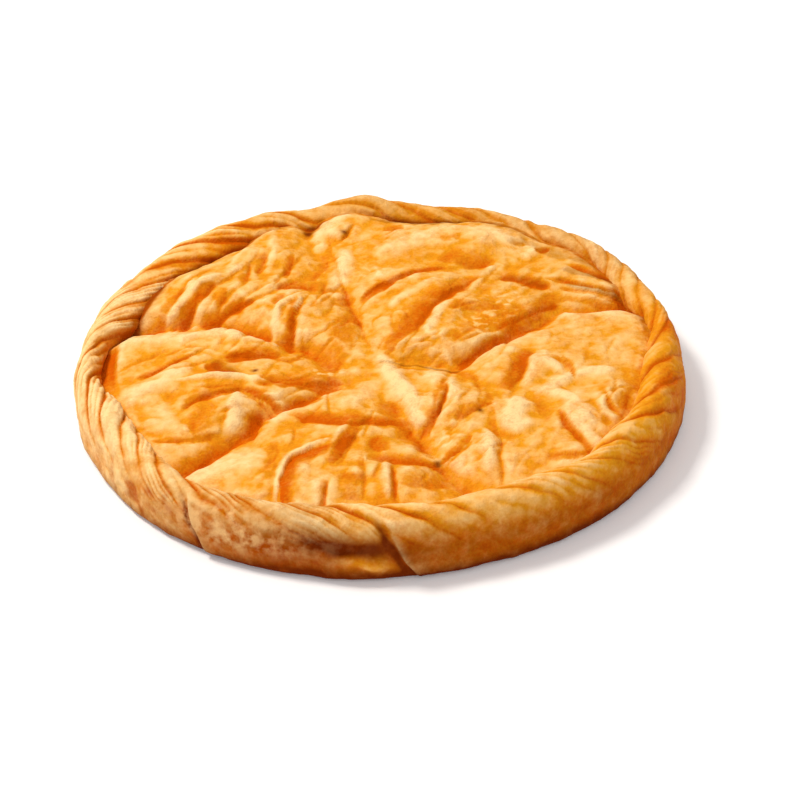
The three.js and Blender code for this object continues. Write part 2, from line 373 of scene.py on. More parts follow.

# %% [markdown]
# ## Folds
# Where there is more pastry than lid, it gathers into folds. Each has a crease. On the left of the stroke
# the skin rises from the crease along a deep orange slope, partly the crust's own colour and partly painted
# shade, and on the right it stands up close to the crease in a thin edge with a painted highlight. The
# stroke runs along the middle of the orange slope.

# %% Places of the folds
# start x, start y, end x, end y, bow to the left, height, width of the slope
FOLDS = {
    "back_left": [
        (-93, 20, -66, 77, 5, 3.2, 6.5), (-103, 20, -79, 81, 5, 2.2, 5), (-79, 32, -64, 64, 2, 1.8, 5),
        (-84, 18, -42, 65, 3, 3.4, 8), (-68, 42, -47, 68, 3, 1.6, 5), (-55, 59, -31, 57, 2, 2.4, 7),
        (-42, 3, -34, 48, 2, 3.6, 5), (-37, 2, -36, 18, 0, 1.4, 3), (-50, 40, -46, 50, 0, 1.4, 4.5),
        (-46, 66, -38, 88, 1, 1.4, 6), (-60, 69, -53, 94, 1, 1.4, 6), (-66, 56, -60, 82, 1, 1.0, 4.5),
        (-30, 51, -13, 52, 1, 1.8, 7), (-47, 26, -40, 45, 1, 1.2, 3), (-6, -6, -27, 104, 2, 1.8, 8),
    ],
    "back_right": [
        (-10, 40, 32, 70, 8, 3.6, 6), (8, -4, 42, 57, 6, 4.2, 10), (30, 44, 52, 64, 2, 2.2, 6),
        (62, 61, 85, 48, 1, 2.2, 7), (86, 58, 113, 42, 1, 2.0, 4), (90, 49, 118, 35, 2, 2.0, 3.5),
        (30, 73, 64, 74, 2, 1.4, 9), (58, 17, 82, 36, 2, 2.4, 9), (-18, 99, -11, 115, 0, 2.4, 3),
        (34, -16, 78, 17, 4, 3.0, 7), (62, 90, 72, 88, 1, 1.2, 6),
    ],
    "left": [
        (-110, -19, -83, -1, 2, 2.6, 4.5), (-71, -1, -46, -4, 1, 3.8, 8), (-48, -7, -34, -5, -3, 1.6, 3),
        (-90, -44, -59, -31, 5, 3.4, 6.5), (-63, -29, -43, -54, 1, 3.4, 6.5),
        (-60, -73, -53, -46, 1, 2.8, 7), (-101, -67, -75, -67, -1, 2.0, 5),
        (-72, -66, -70, -46, 0, 1.2, 5), (-82, -14, -66, -15, 1, 1.6, 5),
    ],
    "front": [
        (-36, -53, 8, -62, 1, 3.6, 7), (-20, -76, -41, -121, -8, 2.8, 6), (-21, -90, -9, -56, -1, 2.4, 7),
        (-27, -121, -24, -100, 1, 1.6, 5), (-2, -87, 29, -97, 1.5, 3.0, 6), (-7, -101, 0, -87, 0, 2.2, 4),
        (4, -121, 3, -92, 1, 1.5, 4), (-51, -112, -49, -90, 0, 1.6, 6), (-11, -112, -9, -90, 0, 1.6, 4.5),
        (-7, -70, -5, -58, 0, 1.6, 3),
    ],
    "right": [
        (21, -66, 29, -32, 0, 3.6, 6), (31, -64, 49, -45, 3, 2.2, 8), (58, -34, 69, -6, 1, 3.4, 6.5),
        (71, -11, 90, -28, 6, 2.0, 4.5), (76, -12, 87, -27, 4, 1.4, 3.5), (28, -94, 39, -75, 0, 2.4, 4.5),
        (80, -54, 92, -90, 0, 2.4, 4), (100, -42, 106, -62, 0, 1.8, 3.5), (94, -46, 101, -66, 0, 1.2, 3),
        (48, -112, 49, -72, 0, 2.0, 4.5), (80, -44, 100, -62, 1, 1.6, 6), (33, -46, 42, -32, 1, 1.6, 5),
        (88, -92, 74, -90, 0, 1.4, 5), (100, -64, 108, -36, 0, 1.6, 8), (1, -13, 37, -20, -1.5, 1.4, 3),
    ],
}
FOLD_LIFT = 0.9
TOWARDS_VIEWER = 0.35


def lower_if_facing(stroke):
    """The fold, lower if its slope faces the viewer, because such a slope looks wider than it is."""
    *line, height, width = stroke
    facing = max(0, stroke[2] - stroke[0]) / math.dist(stroke[0:2], stroke[2:4])
    return (*line, FOLD_LIFT * height * (1 - TOWARDS_VIEWER * facing), width)


large_folds = [lower_if_facing(stroke) for strokes in FOLDS.values() for stroke in strokes]
print("large folds:", len(large_folds))

# %% Raise the folds
# shares of a fold's width: how far right of the stroke its crease lies, and over which distances the skin
# rises and sinks
CREASE_SIDE = 0.55
NEAR_BULGE = (0.66, 2.2)
FAR_BULGE = (0.33, 1.76)
FAR_SIDE = 0.55
CREASE_ROUNDING = 0.4


def bulge(distance, width, shape):
    """Skin that swells up from a crease: 0 at the crease, soon 1, then sinking slowly away from it."""
    rise, reach = (share * width for share in shape)
    top = rise * math.log(1 + reach / rise)
    full = (1 - math.exp(-top / rise)) * math.exp(-top / reach)
    away = softened(distance, CREASE_ROUNDING)
    return (1 - np.exp(-away / rise)) * np.exp(-away / reach) / full


def past_crease(points, stroke):
    """How far along a fold each point is, from 0 to 1, and how far to the left of its crease."""
    share, aside = along_stroke(points, stroke)
    return share, aside + CREASE_SIDE * stroke[6]


def fold_heights(points, folds):
    """The height of all folds together at each point, less the mean."""
    heights = np.zeros(len(points))
    for stroke in folds:
        height, width = stroke[5:]
        share, past = past_crease(points, stroke)
        near = bulge(past, width, NEAR_BULGE)
        far = FAR_SIDE * bulge(past, width, FAR_BULGE)
        heights += height * taper(share) * np.where(past > 0, near, far)
    return heights - heights.mean()


# each round goes half of the way to the new places, so that they settle
for _ in range(SIGHT_ROUNDS):
    fold_height = fold_heights(seen, large_folds)
    seen[:, 1] = 0.5 * (seen[:, 1] + straight[:, 1] + SIGHT_SLOPE * (broad_level + fold_height))
fold_height = fold_heights(seen, large_folds)
relief += fold_height
print("folds: up to", round(fold_height.max(), 1), "mm high")

# %% [markdown]
# ## Small folds
# Between the large folds the skin has many small ones, in each portion roughly along the same direction.
# Their places don't matter one by one, so they are drawn by lot, always the same way because the lot is
# seeded.

# %% Small folds
# each portion's direction of wrinkles, in degrees, its middle, and how much paler it is than others
GRAINS = {
    "back_left": (62, (-58, 48), -0.05),
    "back_right": (46, (40, 50), -0.04),
    "left": (14, (-75, -30), -0.05),
    "front": (80, (-20, -88), -0.08),
    "right": (58, (62, -40), 0.1),
}
SMALL_FOLD_COUNT = 130
SMALL_FOLD_REACH = 112
SMALL_FOLD_SCATTER = 22
SMALL_FOLD_LENGTHS = (8, 26)
SMALL_FOLD_BOWS = (-2, 2)
SMALL_FOLD_HEIGHTS = (0.35, 1.0)
SMALL_FOLD_WIDTHS = (1.8, 3.6)


def small_folds():
    """Strokes of short folds, each along the direction of the portion that it lies in."""
    lot = np.random.default_rng(5)
    strokes = []
    for _ in range(SMALL_FOLD_COUNT):
        turn = lot.uniform(0, 2 * math.pi)
        out = SMALL_FOLD_REACH * math.sqrt(lot.uniform(0, 1))
        middle = np.array((out * math.cos(turn), out * math.sin(turn)))
        grain = min(GRAINS.values(), key=lambda grain: np.hypot(*(middle - grain[1])))[0]
        turn = math.radians(grain + lot.normal(0, SMALL_FOLD_SCATTER))
        half = 0.5 * lot.uniform(*SMALL_FOLD_LENGTHS) * np.array((math.cos(turn), math.sin(turn)))
        bow, height, width = (
            lot.uniform(*limits) for limits in (SMALL_FOLD_BOWS, SMALL_FOLD_HEIGHTS, SMALL_FOLD_WIDTHS)
        )
        strokes.append((*(middle - half), *(middle + half), bow, height, width))
    return strokes


little_folds = small_folds()
relief += fold_heights(seen, little_folds)
print("small folds:", len(little_folds))

# %% [markdown]
# ## Swells and troughs
# Apart from the folds, some stretches are blown up and pale, partly their own tone and partly a painted
# highlight, and others have sunk and are deep orange, partly the crust's own colour and partly painted
# shade. They are strokes too, blades with pointed ends, and give both the form here and the colour further
# down.

# %% Places of the troughs
# start x, start y, end x, end y, bow to the left, width, strength
TROUGHS = [
    (-92, 22, -80, 58, 3, 7, 0.9), (-80, 24, -62, 45, 1, 10, 0.9), (-76, 38, -73, 56, 0, 4, 0.6),
    (-102, 22, -95, 52, 2, 4, 0.5), (-42, 3, -38, 42, 1, 5, 1.0), (-48, 43, -45, 50, 0, 5, 0.6),
    (-50, 60, -34, 57, 1, 8, 0.7), (-44, 68, -42, 84, 0, 4, 0.6), (-57, 72, -56, 86, 0, 5, 0.5),
    (-64, 62, -62, 78, 0, 4, 0.5), (-33, 56, -15, 50, 1, 8, 0.5), (-24, -20, -12, 26, 2, 14, 0.55),
    (-28, 40, -12, 44, 0, 10, 0.35), (-62, 12, -48, 18, 0, 8, 0.3), (-30, 62, -24, 85, 0, 5, 0.4),
    (-4, 46, 28, 70, 5, 6, 1.0), (6, 2, 42, 58, 4, 11, 0.9), (34, 80, 56, 75, 1, 12, 0.5),
    (62, 60, 80, 50, 1, 9, 0.9), (36, 35, 58, 36, 0, 9, 0.6), (56, 12, 80, 36, 2, 15, 0.95),
    (34, 8, 60, 22, 0, 16, 0.45), (78, 37, 92, 40, 0, 7, 0.5), (40, -13, 72, 15, 3, 6, 1.0),
    (79, 86, 85, 86, 0, 6, 0.9), (67, 92, 73, 92, 0, 6, 0.4), (6, 110, 15, 110, 0, 8, 0.5),
    (34, 98, 42, 98, 0, 8, 0.35), (94, 68, 109, 57, 1, 5, 0.8), (84, 56, 115, 42, 1, 4, 0.6),
    (90, 47, 117, 34, 1, 4, 0.6), (80, 41, 112, 33, 1, 6, 0.4), (-108, -17, -88, -4, 1, 4, 0.7),
    (-68, -5, -48, -3, 1, 8, 1.0), (-47, -7, -35, -3, -3, 3, 0.6), (-76, -9, -68, -18, 0, 9, 0.9),
    (-52, -26, -20, -30, 1, 13, 0.85), (-42, -48, -28, -40, 0, 10, 0.6), (-86, -40, -62, -30, 3, 8, 0.7),
    (-60, -31, -45, -48, 1, 5, 1.0), (-60, -71, -54, -47, 0, 7, 0.7), (-78, -43, -76, -67, 0, 13, 0.5),
    (-100, -68, -80, -67, 0, 4, 0.5), (-92, -92, -70, -77, 1, 11, 0.5), (-36, -53, 9, -62, 1, 7, 1.0),
    (-21, -77, -40, -119, -8, 7, 0.95), (-20, -86, -11, -61, 0, 7, 0.85),
    (-26, -119, -25, -103, 0, 4, 0.7), (-2, -86, 26, -96, 1, 6, 0.8), (6, -60, 2, -46, 0, 8, 0.5),
    (0, -72, 2, -81, 0, 7, 0.6), (-10, -101, -8, -85, 0, 3, 0.4), (4, -116, 4, -95, 0, 3, 0.4),
    (9, -104, 29, -108, 0, 11, 0.5), (-15, -112, -14, -98, 0, 8, 0.4), (23, -90, 8, -60, 1, 5, 0.55),
    (-50, -97, -47, -74, 0, 6, 0.35), (21, -67, 29, -33, 0, 6, 1.0), (30, -60, 47, -46, 2, 9, 0.55),
    (57, -33, 67, -8, 1, 9, 1.0), (72, -9, 89, -23, 3, 3, 0.5), (28, -91, 38, -75, 0, 4, 0.8),
    (80, -57, 91, -87, 0, 3, 0.8), (100, -44, 106, -61, 0, 2.5, 0.7), (85, -13, 89, -28, 1, 2.5, 0.7),
    (49, -76, 48, -38, -1, 4, 0.4), (71, -88, 91, -88, 0, 7, 0.6), (100, -33, 109, -56, 1, 11, 0.4),
    (35, -20, 45, -27, 0, 6, 0.4), (62, -96, 76, -81, 0, 7, 0.3), (36, -42, 46, -34, 0, 6, 0.2),
    (104, -50, 112, -34, 0, 8, 0.2), (64, -84, 84, -74, 1, 8, 0.15), (70, -46, 76, -60, 0, 6, 0.2),
]
print("troughs:", len(TROUGHS))

# %% Places of the swells
# start x, start y, end x, end y, bow to the left, width, strength
SWELLS = [
    (-100, 24, -76, 70, 4, 6, 0.6), (-86, 26, -74, 64, 3, 4, 0.5), (-60, 20, -50, 36, 0, 10, 0.4),
    (-48, 8, -45, 42, 1, 3, 0.6), (-75, 63, -68, 86, 0, 6, 0.4), (-52, 75, -50, 110, 0, 4, 0.4),
    (-37, 28, -36, 46, 0, 2.5, 0.5), (-28, 98, -16, 123, 2, 8, 0.9), (-18, 48, -14, 86, 0, 8, 0.8),
    (-28, 90, -22, 108, 0, 6, 0.6), (0, -12, 5, 22, 0, 7, 0.4), (9, -44, 3, -10, -1, 9, 1.0),
    (22, 12, 34, 36, 2, 4, 0.6), (8, 38, 26, 58, 1, 5, 0.5), (86, 25, 119, 22, 1, 11, 0.6),
    (48, 60, 60, 71, 1, 7, 0.4), (4, 86, 40, 108, 0, 20, 0.6), (44, 104, 80, 82, 2, 15, 0.5),
    (-119, 8, -58, 10, 2, 10, 0.7), (-112, -36, -88, -14, 1, 11, 0.7), (-110, -28, -94, -52, 0, 11, 0.5),
    (-102, -55, -86, -60, 0, 11, 0.4), (-64, -62, -64, -37, 0, 6, 0.6), (-90, -22, -54, -26, 3, 4, 0.7),
    (-51, -39, -39, -49, 0, 4, 0.5), (-82, -101, -54, -84, 1, 13, 0.65), (-46, -56, -24, -39, 1, 7, 0.5),
    (-45, -114, -24, -72, 8, 4, 0.4), (-25, -114, -35, -86, -2, 12, 0.5), (-20, -76, -13, -57, 0, 4, 0.4),
    (1, -113, 2, -91, 0, 4, 0.4), (-16, -46, 1, -31, 0, 10, 0.4), (16, -62, 3, -16, -2, 8, 1.0),
    (59, -69, 61, -46, 0, 11, 1.0), (72, -37, 102, -24, 2, 7, 0.7), (72, -37, 94, -66, 3, 8, 0.55),
    (45, -98, 47, -71, 0, 6, 0.65), (20, -84, 38, -101, 0, 6, 0.4), (74, -9, 81, -21, 0, 7, 0.5),
    (84, -58, 96, -84, 0, 5, 0.4), (24, -24, 34, -36, 0, 8, 0.4),
]
print("swells:", len(SWELLS))

# %% Swells and troughs
SWELL_HEIGHT = 1.5
TROUGH_DEPTH = 0.6
# a blade's half width, its tips' share of that, and how far it runs past its ends
BLADE_HALF = 0.7
BLADE_TIP = 0.2
BLADE_PAST = 0.15
BLADE_FULL = 0.85
BLADE_RAGGED = ((7, 0.35, 90),)
# across a blade, where 1 is its edge: a dome's foot, and where a slope starts, is full, sinks and is gone
DOME_FOOT = 1.4
SLOPE_STAGES = (-1.05, -0.6, -0.1, 1.3)


def spread(value, stages):
    """Weight that starts, is full, is still full and is gone at four values."""
    start, full, still_full, gone = stages
    return smoothstep(value, start, full) * (1 - smoothstep(value, still_full, gone))


def dome(across):
    """A swell: full in the middle and soft on both sides."""
    return 1 - smoothstep(np.abs(across), 0, DOME_FOOT)


def slope(across):
    """A trough: crisp on the right, where the next fold stands, and soft on the left."""
    return spread(across, SLOPE_STAGES)


def stroke_weight(points, strokes, profile):
    """How much strokes weigh at each point: blades with pointed ends and that profile across them."""
    weight = np.zeros(len(points))
    ragged = 1 + layered_noise(points, BLADE_RAGGED)
    for stroke in strokes:
        width, strength = stroke[5:]
        share, aside = along_stroke(points, stroke)
        ends = np.sqrt(between_ends(share, BLADE_PAST))
        half_width = BLADE_HALF * width * (BLADE_TIP + (1 - BLADE_TIP) * ends) * ragged
        blade = strength * profile(aside / half_width) * smoothstep(ends, 0, BLADE_FULL)
        weight = np.maximum(weight, blade)
    return weight


# the troughs' weight is deep orange, partly own colour and partly painted shade; the swells' weight is
# pale, partly own tone and partly a painted highlight
glaze_and_shade = stroke_weight(seen, TROUGHS, slope)
bare_and_highlight = stroke_weight(seen, SWELLS, dome)
relief += SWELL_HEIGHT * bare_and_highlight - TROUGH_DEPTH * glaze_and_shade
print("share of the lid that is glazed:", round(glaze_and_shade.mean(), 2), "and bare:", round(bare_and_highlight.mean(), 2))

# %% [markdown]
# ## Ridges
# Some folds are pinched to a thin pale ridge, and some stretches are blown up to a pale dome. They are
# strokes as well, but the same on both sides.

# %% Ridges
# start x, start y, end x, end y, bow to the left, height, width
RIDGES = [
    (4, -16, 14, -66, 2, 1.6, 9), (-24, 100, -2, 124, 4, 2.0, 10), (-18, 52, -14, 82, 0, 1.2, 8),
    (58, -72, 62, -44, 0, 0.8, 12), (74, -38, 102, -24, 2, 0.8, 6), (72, -36, 95, -68, 3, 0.6, 7),
    (-119, 8, -56, 9, 3, 1.8, 7), (-116, -36, -86, -14, 2, 1.2, 9), (-72, -84, -22, -40, 2, 1.2, 6),
    (-86, -104, -56, -92, 1, 1.2, 10), (13, -2, 35, 44, 3, 1.2, 5), (36, 40, 58, 68, 1, 0.9, 6),
    (46, -104, 47, -68, 0, 0.7, 4), (-84, -21, -49, -30, 4, 1.4, 4), (-45, -117, -23, -72, 8, 0.9, 4),
    (-13, -56, -22, -80, 1, 0.6, 3), (1, -112, 1, -91, 0, 0.7, 4), (64, -28, 71, -10, 0, 1.2, 3),
    (-98, 22, -76, 68, 4, 1.0, 4), (-48, 30, -37, 50, 1, 1.0, 2.5), (-70, 66, -60, 104, 0, 1.0, 5),
    (-66, -50, -62, -36, 0, 1.4, 6), (84, 26, 116, 24, 2, 1.2, 9), (28, 4, 44, 40, 2, 0.9, 6),
    (-10, 108, 66, 96, -6, 2.6, 24), (-60, 104, -34, 108, 0, 1.6, 14),
]
RIDGE_HALF = 0.7


def ridge_heights(points, ridges):
    """The height of all ridges together at each point."""
    heights = np.zeros(len(points))
    for stroke in ridges:
        height, width = stroke[5:]
        share, aside = along_stroke(points, stroke)
        heights += height * taper(share) * bump(aside, RIDGE_HALF * width)
    return heights


ridges = ridge_heights(seen, RIDGES)
relief += ridges
print("ridges:", len(RIDGES), "up to", round(ridges.max(), 1), "mm high")

# %% [markdown]
# ## Wrinkles between the folds
# Between the folds the skin is wrinkled too, in each portion along its own folds. The absolute value of a
# smooth noise has round swells and sharp valleys, as slack skin has. Stretching it along each portion's
# direction gives wrinkles rather than bubbles.

# %% Wrinkles
WRINKLE_LENGTH = 30
# width and height of the wrinkles, then width and weight of the pale streaks
WRINKLES = ((15, 1.0), (8, 0.5))
WRINKLE_SEED = 30
STREAKS = ((16, 0.5), (7, 0.6), (3.5, 0.4))
STREAK_SEED = 60
GRAIN_BORDER = 16
NOISE_GAIN = 1.6
VALLEY_ROUNDING = 0.12
UNEVEN = ((42, 1.2, 20), (17, 1.0, 21), (6, 0.5, 22), (3, 0.28, 23))


def along_grain(points, grain, width, seed):
    """Noise of that width drawn out along a direction, from about -1 to 1."""
    turn = math.radians(grain)
    along = points[:, 0] * math.cos(turn) + points[:, 1] * math.sin(turn)
    aside = points[:, 1] * math.cos(turn) - points[:, 0] * math.sin(turn)
    stretched = np.column_stack((along * width / WRINKLE_LENGTH, aside, np.zeros(len(points))))
    return NOISE_GAIN * wander(stretched, width, seed)


nearness = np.array([
    np.exp(-distance_from(flat, *middle) / GRAIN_BORDER) for _, middle, _ in GRAINS.values()
])
nearness /= nearness.sum(axis=0)
wrinkles, streaks, tone = np.zeros((3, len(flat)))
for number, (near, (grain, _, paleness)) in enumerate(zip(nearness, GRAINS.values())):
    for width, size in WRINKLES:
        skin = along_grain(seen, grain, width, WRINKLE_SEED + number + width)
        wrinkles += near * size * softened(skin, VALLEY_ROUNDING)
    for width, size in STREAKS:
        streaks += near * size * along_grain(seen, grain, width, STREAK_SEED + number + width)
    tone += near * paleness
relief += wrinkles + layered_noise(flat, UNEVEN)
print("wrinkles: up to", round(float(wrinkles.max()), 1), "mm")

# %% [markdown]
# ## The lid's edge
# At its edge the sheet dips into the rim: on the left and at the back left it sinks into a deep gutter,
# and elsewhere it runs flush into the roll. Where that happens is read off round the pie, as a few values
# at given angles, and everything in between is blended.

# %% Where the lid meets the rim
FLANK_RADIUS = 122.0
# how far outwards the rim's inner flank is set back, in millimetres, at these angles
FLANK_SETBACKS = {
    0: 1, 5: 3.5, 11: 4, 16: 1.5, 25: 0.5, 31: 2.5, 40: 3.5, 48: 1, 54: 2, 60: 1, 66: 0, 70: -1.5,
    80: -1.5, 86: -2.5, 90: 0, 100: 0, 104: -3, 107: -3, 111: 0, 118: -3, 124: -5, 132: -6, 142: -5,
    152: -4, 162: -4, 168: -3, 175: 4, 190: 5, 200: 1, 210: 0.5, 220: 2, 230: 2.5, 240: 1, 250: 2.5,
    258: 0, 266: -0.5, 274: 2.5, 281: 1.5, 290: 0, 302: -1, 309: 2.5, 315: 4, 320: 2, 325: 0.5, 330: 2,
    336: 0.5, 345: -1.5, 353: -0.5,
}
# how deep the gutter is, at these angles
GUTTER_SHARES = {
    0: 0, 20: 0.3, 40: 0.4, 62: 0.3, 70: 1, 86: 1, 92: 0.2, 101: 0.2, 105: 1, 109: 0.2, 118: 0.2,
    124: 0.7, 148: 0.7, 168: 0.9, 176: 0.3, 188: 0.3, 198: 0,
}
GUTTER_WIDTH = 3.5


def by_angle(table, degrees):
    """A value for each angle, from a table with the values at a few angles in degrees."""
    return np.interp(degrees, list(table), list(table.values()), period=360)


past_flank = lid_radius - FLANK_RADIUS - by_angle(FLANK_SETBACKS, lid_degrees)
at_edge = bump(past_flank, GUTTER_WIDTH)
gutter = by_angle(GUTTER_SHARES, lid_degrees) * at_edge
print("gutter: on", round(100 * float((gutter > 0.5).mean()), 1), "% of the lid")

# %% Height of the lid
LID_MEAN = 25.0
GUTTER_DEPTH = 2.0
EDGE_INSIDE = 3
EDGE_DROOP = 0.35
# where the lid sinks towards its edge: angle and reach in degrees, radius where that starts and ends, and
# depth; the second place is on the left
SUNKEN_EDGES = (
    (78, 9, 106, 119, 2.6), (181, 10, 118.5, 122, 2.4), (127, 7, 104, 116, 2.4), (142, 10, 106, 117, 2.4),
)


def turned(degrees):
    """An angle brought to between -180 and 180 degrees."""
    return (degrees + 180) % 360 - 180


sunken = [
    bump(turned(lid_degrees - middle), reach) * smoothstep(lid_radius, start, end)
    for middle, reach, start, end, _ in SUNKEN_EDGES
]
lid_top = LID_MEAN + level + relief - relief.mean()
lid_top -= GUTTER_DEPTH * gutter + EDGE_DROOP * np.maximum(past_flank + EDGE_INSIDE, 0)
lid_top -= sum(edge[4] * share for edge, share in zip(SUNKEN_EDGES, sunken))
print("lid: from", round(lid_top[past_flank < 0].min(), 1), "to", round(lid_top.max(), 1), "mm high")

# %% Close the lid
LID_BOTTOM = 8.0


def extrude_ring(bm, edges, radius, height):
    """Pulls an open edge out to a new ring at that radius and height, and returns the ring's edges."""
    made = bmesh.ops.extrude_edge_only(bm, edges=edges)["geom"]
    for vert in (item for item in made if isinstance(item, bmesh.types.BMVert)):
        turn = math.atan2(vert.co.y, vert.co.x)
        vert.co = (radius * math.cos(turn), radius * math.sin(turn), height)
    return [item for item in made if isinstance(item, bmesh.types.BMEdge) and item.is_boundary]


for vert, height in zip(lid.verts, lid_top):
    vert.co.z = height
lid_edge = [edge for edge in lid.edges if edge.is_boundary]
bottom_edge = extrude_ring(lid, lid_edge, LID_REACH, LID_BOTTOM)
bmesh.ops.contextual_create(lid, geom=bottom_edge)
print("lid closed:", len(lid.faces), "faces")

# %% [markdown]
# ## The case: rolled rim, wall and foot
# The case is round, so here a ring is the right start. It begins at the inner foot of the rim, and its
# edge is extruded ring by ring along a section: up the flank, over the crown, down the wall and under the
# foot.

# %% Section of the rim and wall
OUTER_RADIUS = 140
FOOT_RADIUS = 136
FOOT_ROUNDING = 3.5
BELLY_HEIGHT = 12
RIM_HEIGHT = 29.0
CROWN_RADIUS = 131
FLANK_LEVEL = 21.0
TUCK = math.radians(24)
ARC_POINTS = 60
CASE_ROWS = 70


def arc(centre, radii, start, end):
    """Points of an ellipse's arc, as radius and height."""
    turn = np.linspace(start, end, ARC_POINTS)
    return np.column_stack((centre[0] + radii[0] * np.cos(turn), centre[1] + radii[1] * np.sin(turn)))


def rim_section(rows):
    """Even points from the rim's inner foot over the crown and down to the pie's foot, and their length."""
    quarter = math.pi / 2
    flank = (CROWN_RADIUS - FLANK_RADIUS, RIM_HEIGHT - FLANK_LEVEL)
    shoulder = (OUTER_RADIUS - CROWN_RADIUS, RIM_HEIGHT - BELLY_HEIGHT)
    toe = (OUTER_RADIUS - FOOT_RADIUS, FOOT_ROUNDING)
    line = np.vstack((
        arc((CROWN_RADIUS, FLANK_LEVEL), flank, 2 * quarter + TUCK, quarter),
        arc((CROWN_RADIUS, BELLY_HEIGHT), shoulder, quarter, 0),
        arc((FOOT_RADIUS, FOOT_ROUNDING), toe, 0, -quarter),
    ))
    steps = np.hypot(*np.diff(line, axis=0).T)
    reach = np.concatenate(([0], np.cumsum(steps)))
    wanted = np.linspace(0, reach[-1], rows + 1)
    return np.column_stack([np.interp(wanted, reach, line[:, axis]) for axis in (0, 1)]), reach[-1]


section, section_length = rim_section(CASE_ROWS)
print("section:", round(section_length, 1), "mm long, in", CASE_ROWS, "rows")

# %% Rings of the case
CASE_COLUMNS = 1150


def case_rings(section):
    """The case's skin as rings, in millimetres, with its inner and its outer open edge."""
    bm = bmesh.new()
    bmesh.ops.create_circle(bm, cap_ends=False, segments=CASE_COLUMNS, radius=section[0][0])
    inner = list(bm.edges)
    for vert in bm.verts:
        vert.co.z = section[0][1]
    outer = inner
    for radius, height in section[1:]:
        outer = extrude_ring(bm, outer, radius, height)
    return bm, inner, outer


case, inner_edge, outer_edge = case_rings(section)
ring_places = np.array([vert.co for vert in case.verts])
ring_radius = np.hypot(ring_places[:, 0], ring_places[:, 1])
ring_height = ring_places[:, 2]
ring_angle = np.arctan2(ring_places[:, 1], ring_places[:, 0])
ring_degrees = np.degrees(ring_angle)
# each point's share of the way down the section
down = np.repeat(np.arange(CASE_ROWS + 1), CASE_COLUMNS) / CASE_ROWS
print("case rings:", len(down), "points")

# %% [markdown]
# ## The twisted strands
# The edges of all the sheets are twisted together and rolled. The grooves between the strands run aslant
# over the crown, so each is given by where it crosses the crown's inner and its outer edge. Between two
# grooves lies one strand, with a rounded back and a rounded end at the lid.

# %% Places of the strands
# where each groove crosses the crown's inner and outer edge, in degrees anticlockwise from +X, and how much
# painted shade it gets
GROOVES = (
    (-3, 9, 1.0), (6, 16, 0.5), (14, 25, 0.4), (21, 32, 0.4), (29, 38, 0.6), (36, 49, 0.4), (47, 60, 0.3),
    (56, 72, 0.3), (64, 82, 0.3), (74, 94, 0.4), (87, 108, 0.6), (101, 120, 0.8), (112, 132, 0.9),
    (122, 144, 0.7), (136, 157, 0.7), (147, 167, 0.6), (156, 175, 0.5), (165, 182, 0.6), (173, 188, 0.8),
    (187, 200, 1.0), (195, 208, 0.3), (203, 216, 0.3), (210, 223, 0.4), (218, 231, 0.3), (228, 242, 0.3),
    (238, 253, 0.3), (248, 263, 0.4), (257, 271, 0.8), (266, 279, 0.9), (277, 289, 0.9), (290, 301, 0.4),
    (299, 310, 0.4), (308, 319, 0.5), (316, 327, 0.5), (324, 336, 0.8), (333, 347, 0.7), (344, 356, 0.7),
)
CROWN_EDGES = (0.15, 0.5)
# wavelength in millimetres, size in degrees and seed of the noise that lets the grooves ramble
RAMBLES = ((30, 2.4, 4), (9, 1.0, 14))


def groove_degrees(down_share):
    """Where the grooves lie at that share of the way down, with the first one again at the end."""
    inner, outer, _ = np.array(GROOVES, float).T
    at = inner + (outer - inner) * (down_share - CROWN_EDGES[0]) / (CROWN_EDGES[1] - CROWN_EDGES[0])
    return np.append(at, at[0] + 360)


def strand_places(degrees):
    """Each point's strand, by number, and how far across it the point lies, from 0 to 1."""
    numbers, shares = [], []
    for row, ring in enumerate(degrees.reshape(CASE_ROWS + 1, CASE_COLUMNS)):
        edges = groove_degrees(row / CASE_ROWS)
        place = edges[0] + (ring - edges[0]) % 360
        number = np.clip(np.searchsorted(edges, place, "right") - 1, 0, len(GROOVES) - 1)
        numbers.append(number)
        shares.append((place - edges[number]) / (edges[number + 1] - edges[number]))
    return np.concatenate(numbers), np.concatenate(shares)


strand, across = strand_places(ring_degrees + layered_noise(ring_places, RAMBLES))
from_back = np.abs(2 * across - 1)
print("strands:", len(GROOVES))

# %% Raise the strands
STRAND_HEIGHT = 2.7
STRAND_ROUNDNESS = 0.6
# how high the strands stand, at these angles, and the share that each has of that by lot
STRAND_SHARES = {
    0: 0.7, 40: 0.6, 90: 0.7, 120: 1.0, 138: 0.9, 150: 0.6, 182: 0.6, 195: 1.0, 225: 0.8, 260: 0.7,
    288: 0.6, 315: 0.65, 345: 0.8,
}
SIZE_LOT = (0.55, 1.25)
# where on the wall the strands end, at these angles, and how far each departs from that by lot
STRAND_ENDS = {
    0: 0.6, 40: 0.65, 90: 0.75, 125: 0.7, 145: 0.52, 180: 0.52, 195: 0.65, 260: 0.6, 285: 0.62, 345: 0.62,
}
END_LOT = (-0.1, 0.1)
# shares of the way down: over which a strand's back rises at the lid, how much later its sides do, and how
# far before and after its end it fades
STRAND_START = 0.06
SIDES_LATER = 0.16
FADE_BEFORE = 0.3
FADE_AFTER = 0.1
EVEN_FADE = 0.95
PATCHY_FADE = ((32, 0.6, 21),)
GROOVE_WIDTH = 0.24

draws = np.random.default_rng(11)


def by_lot(limits):
    """A value drawn between two limits for each strand, at all points of that strand."""
    return draws.uniform(*limits, len(GROOVES))[strand]


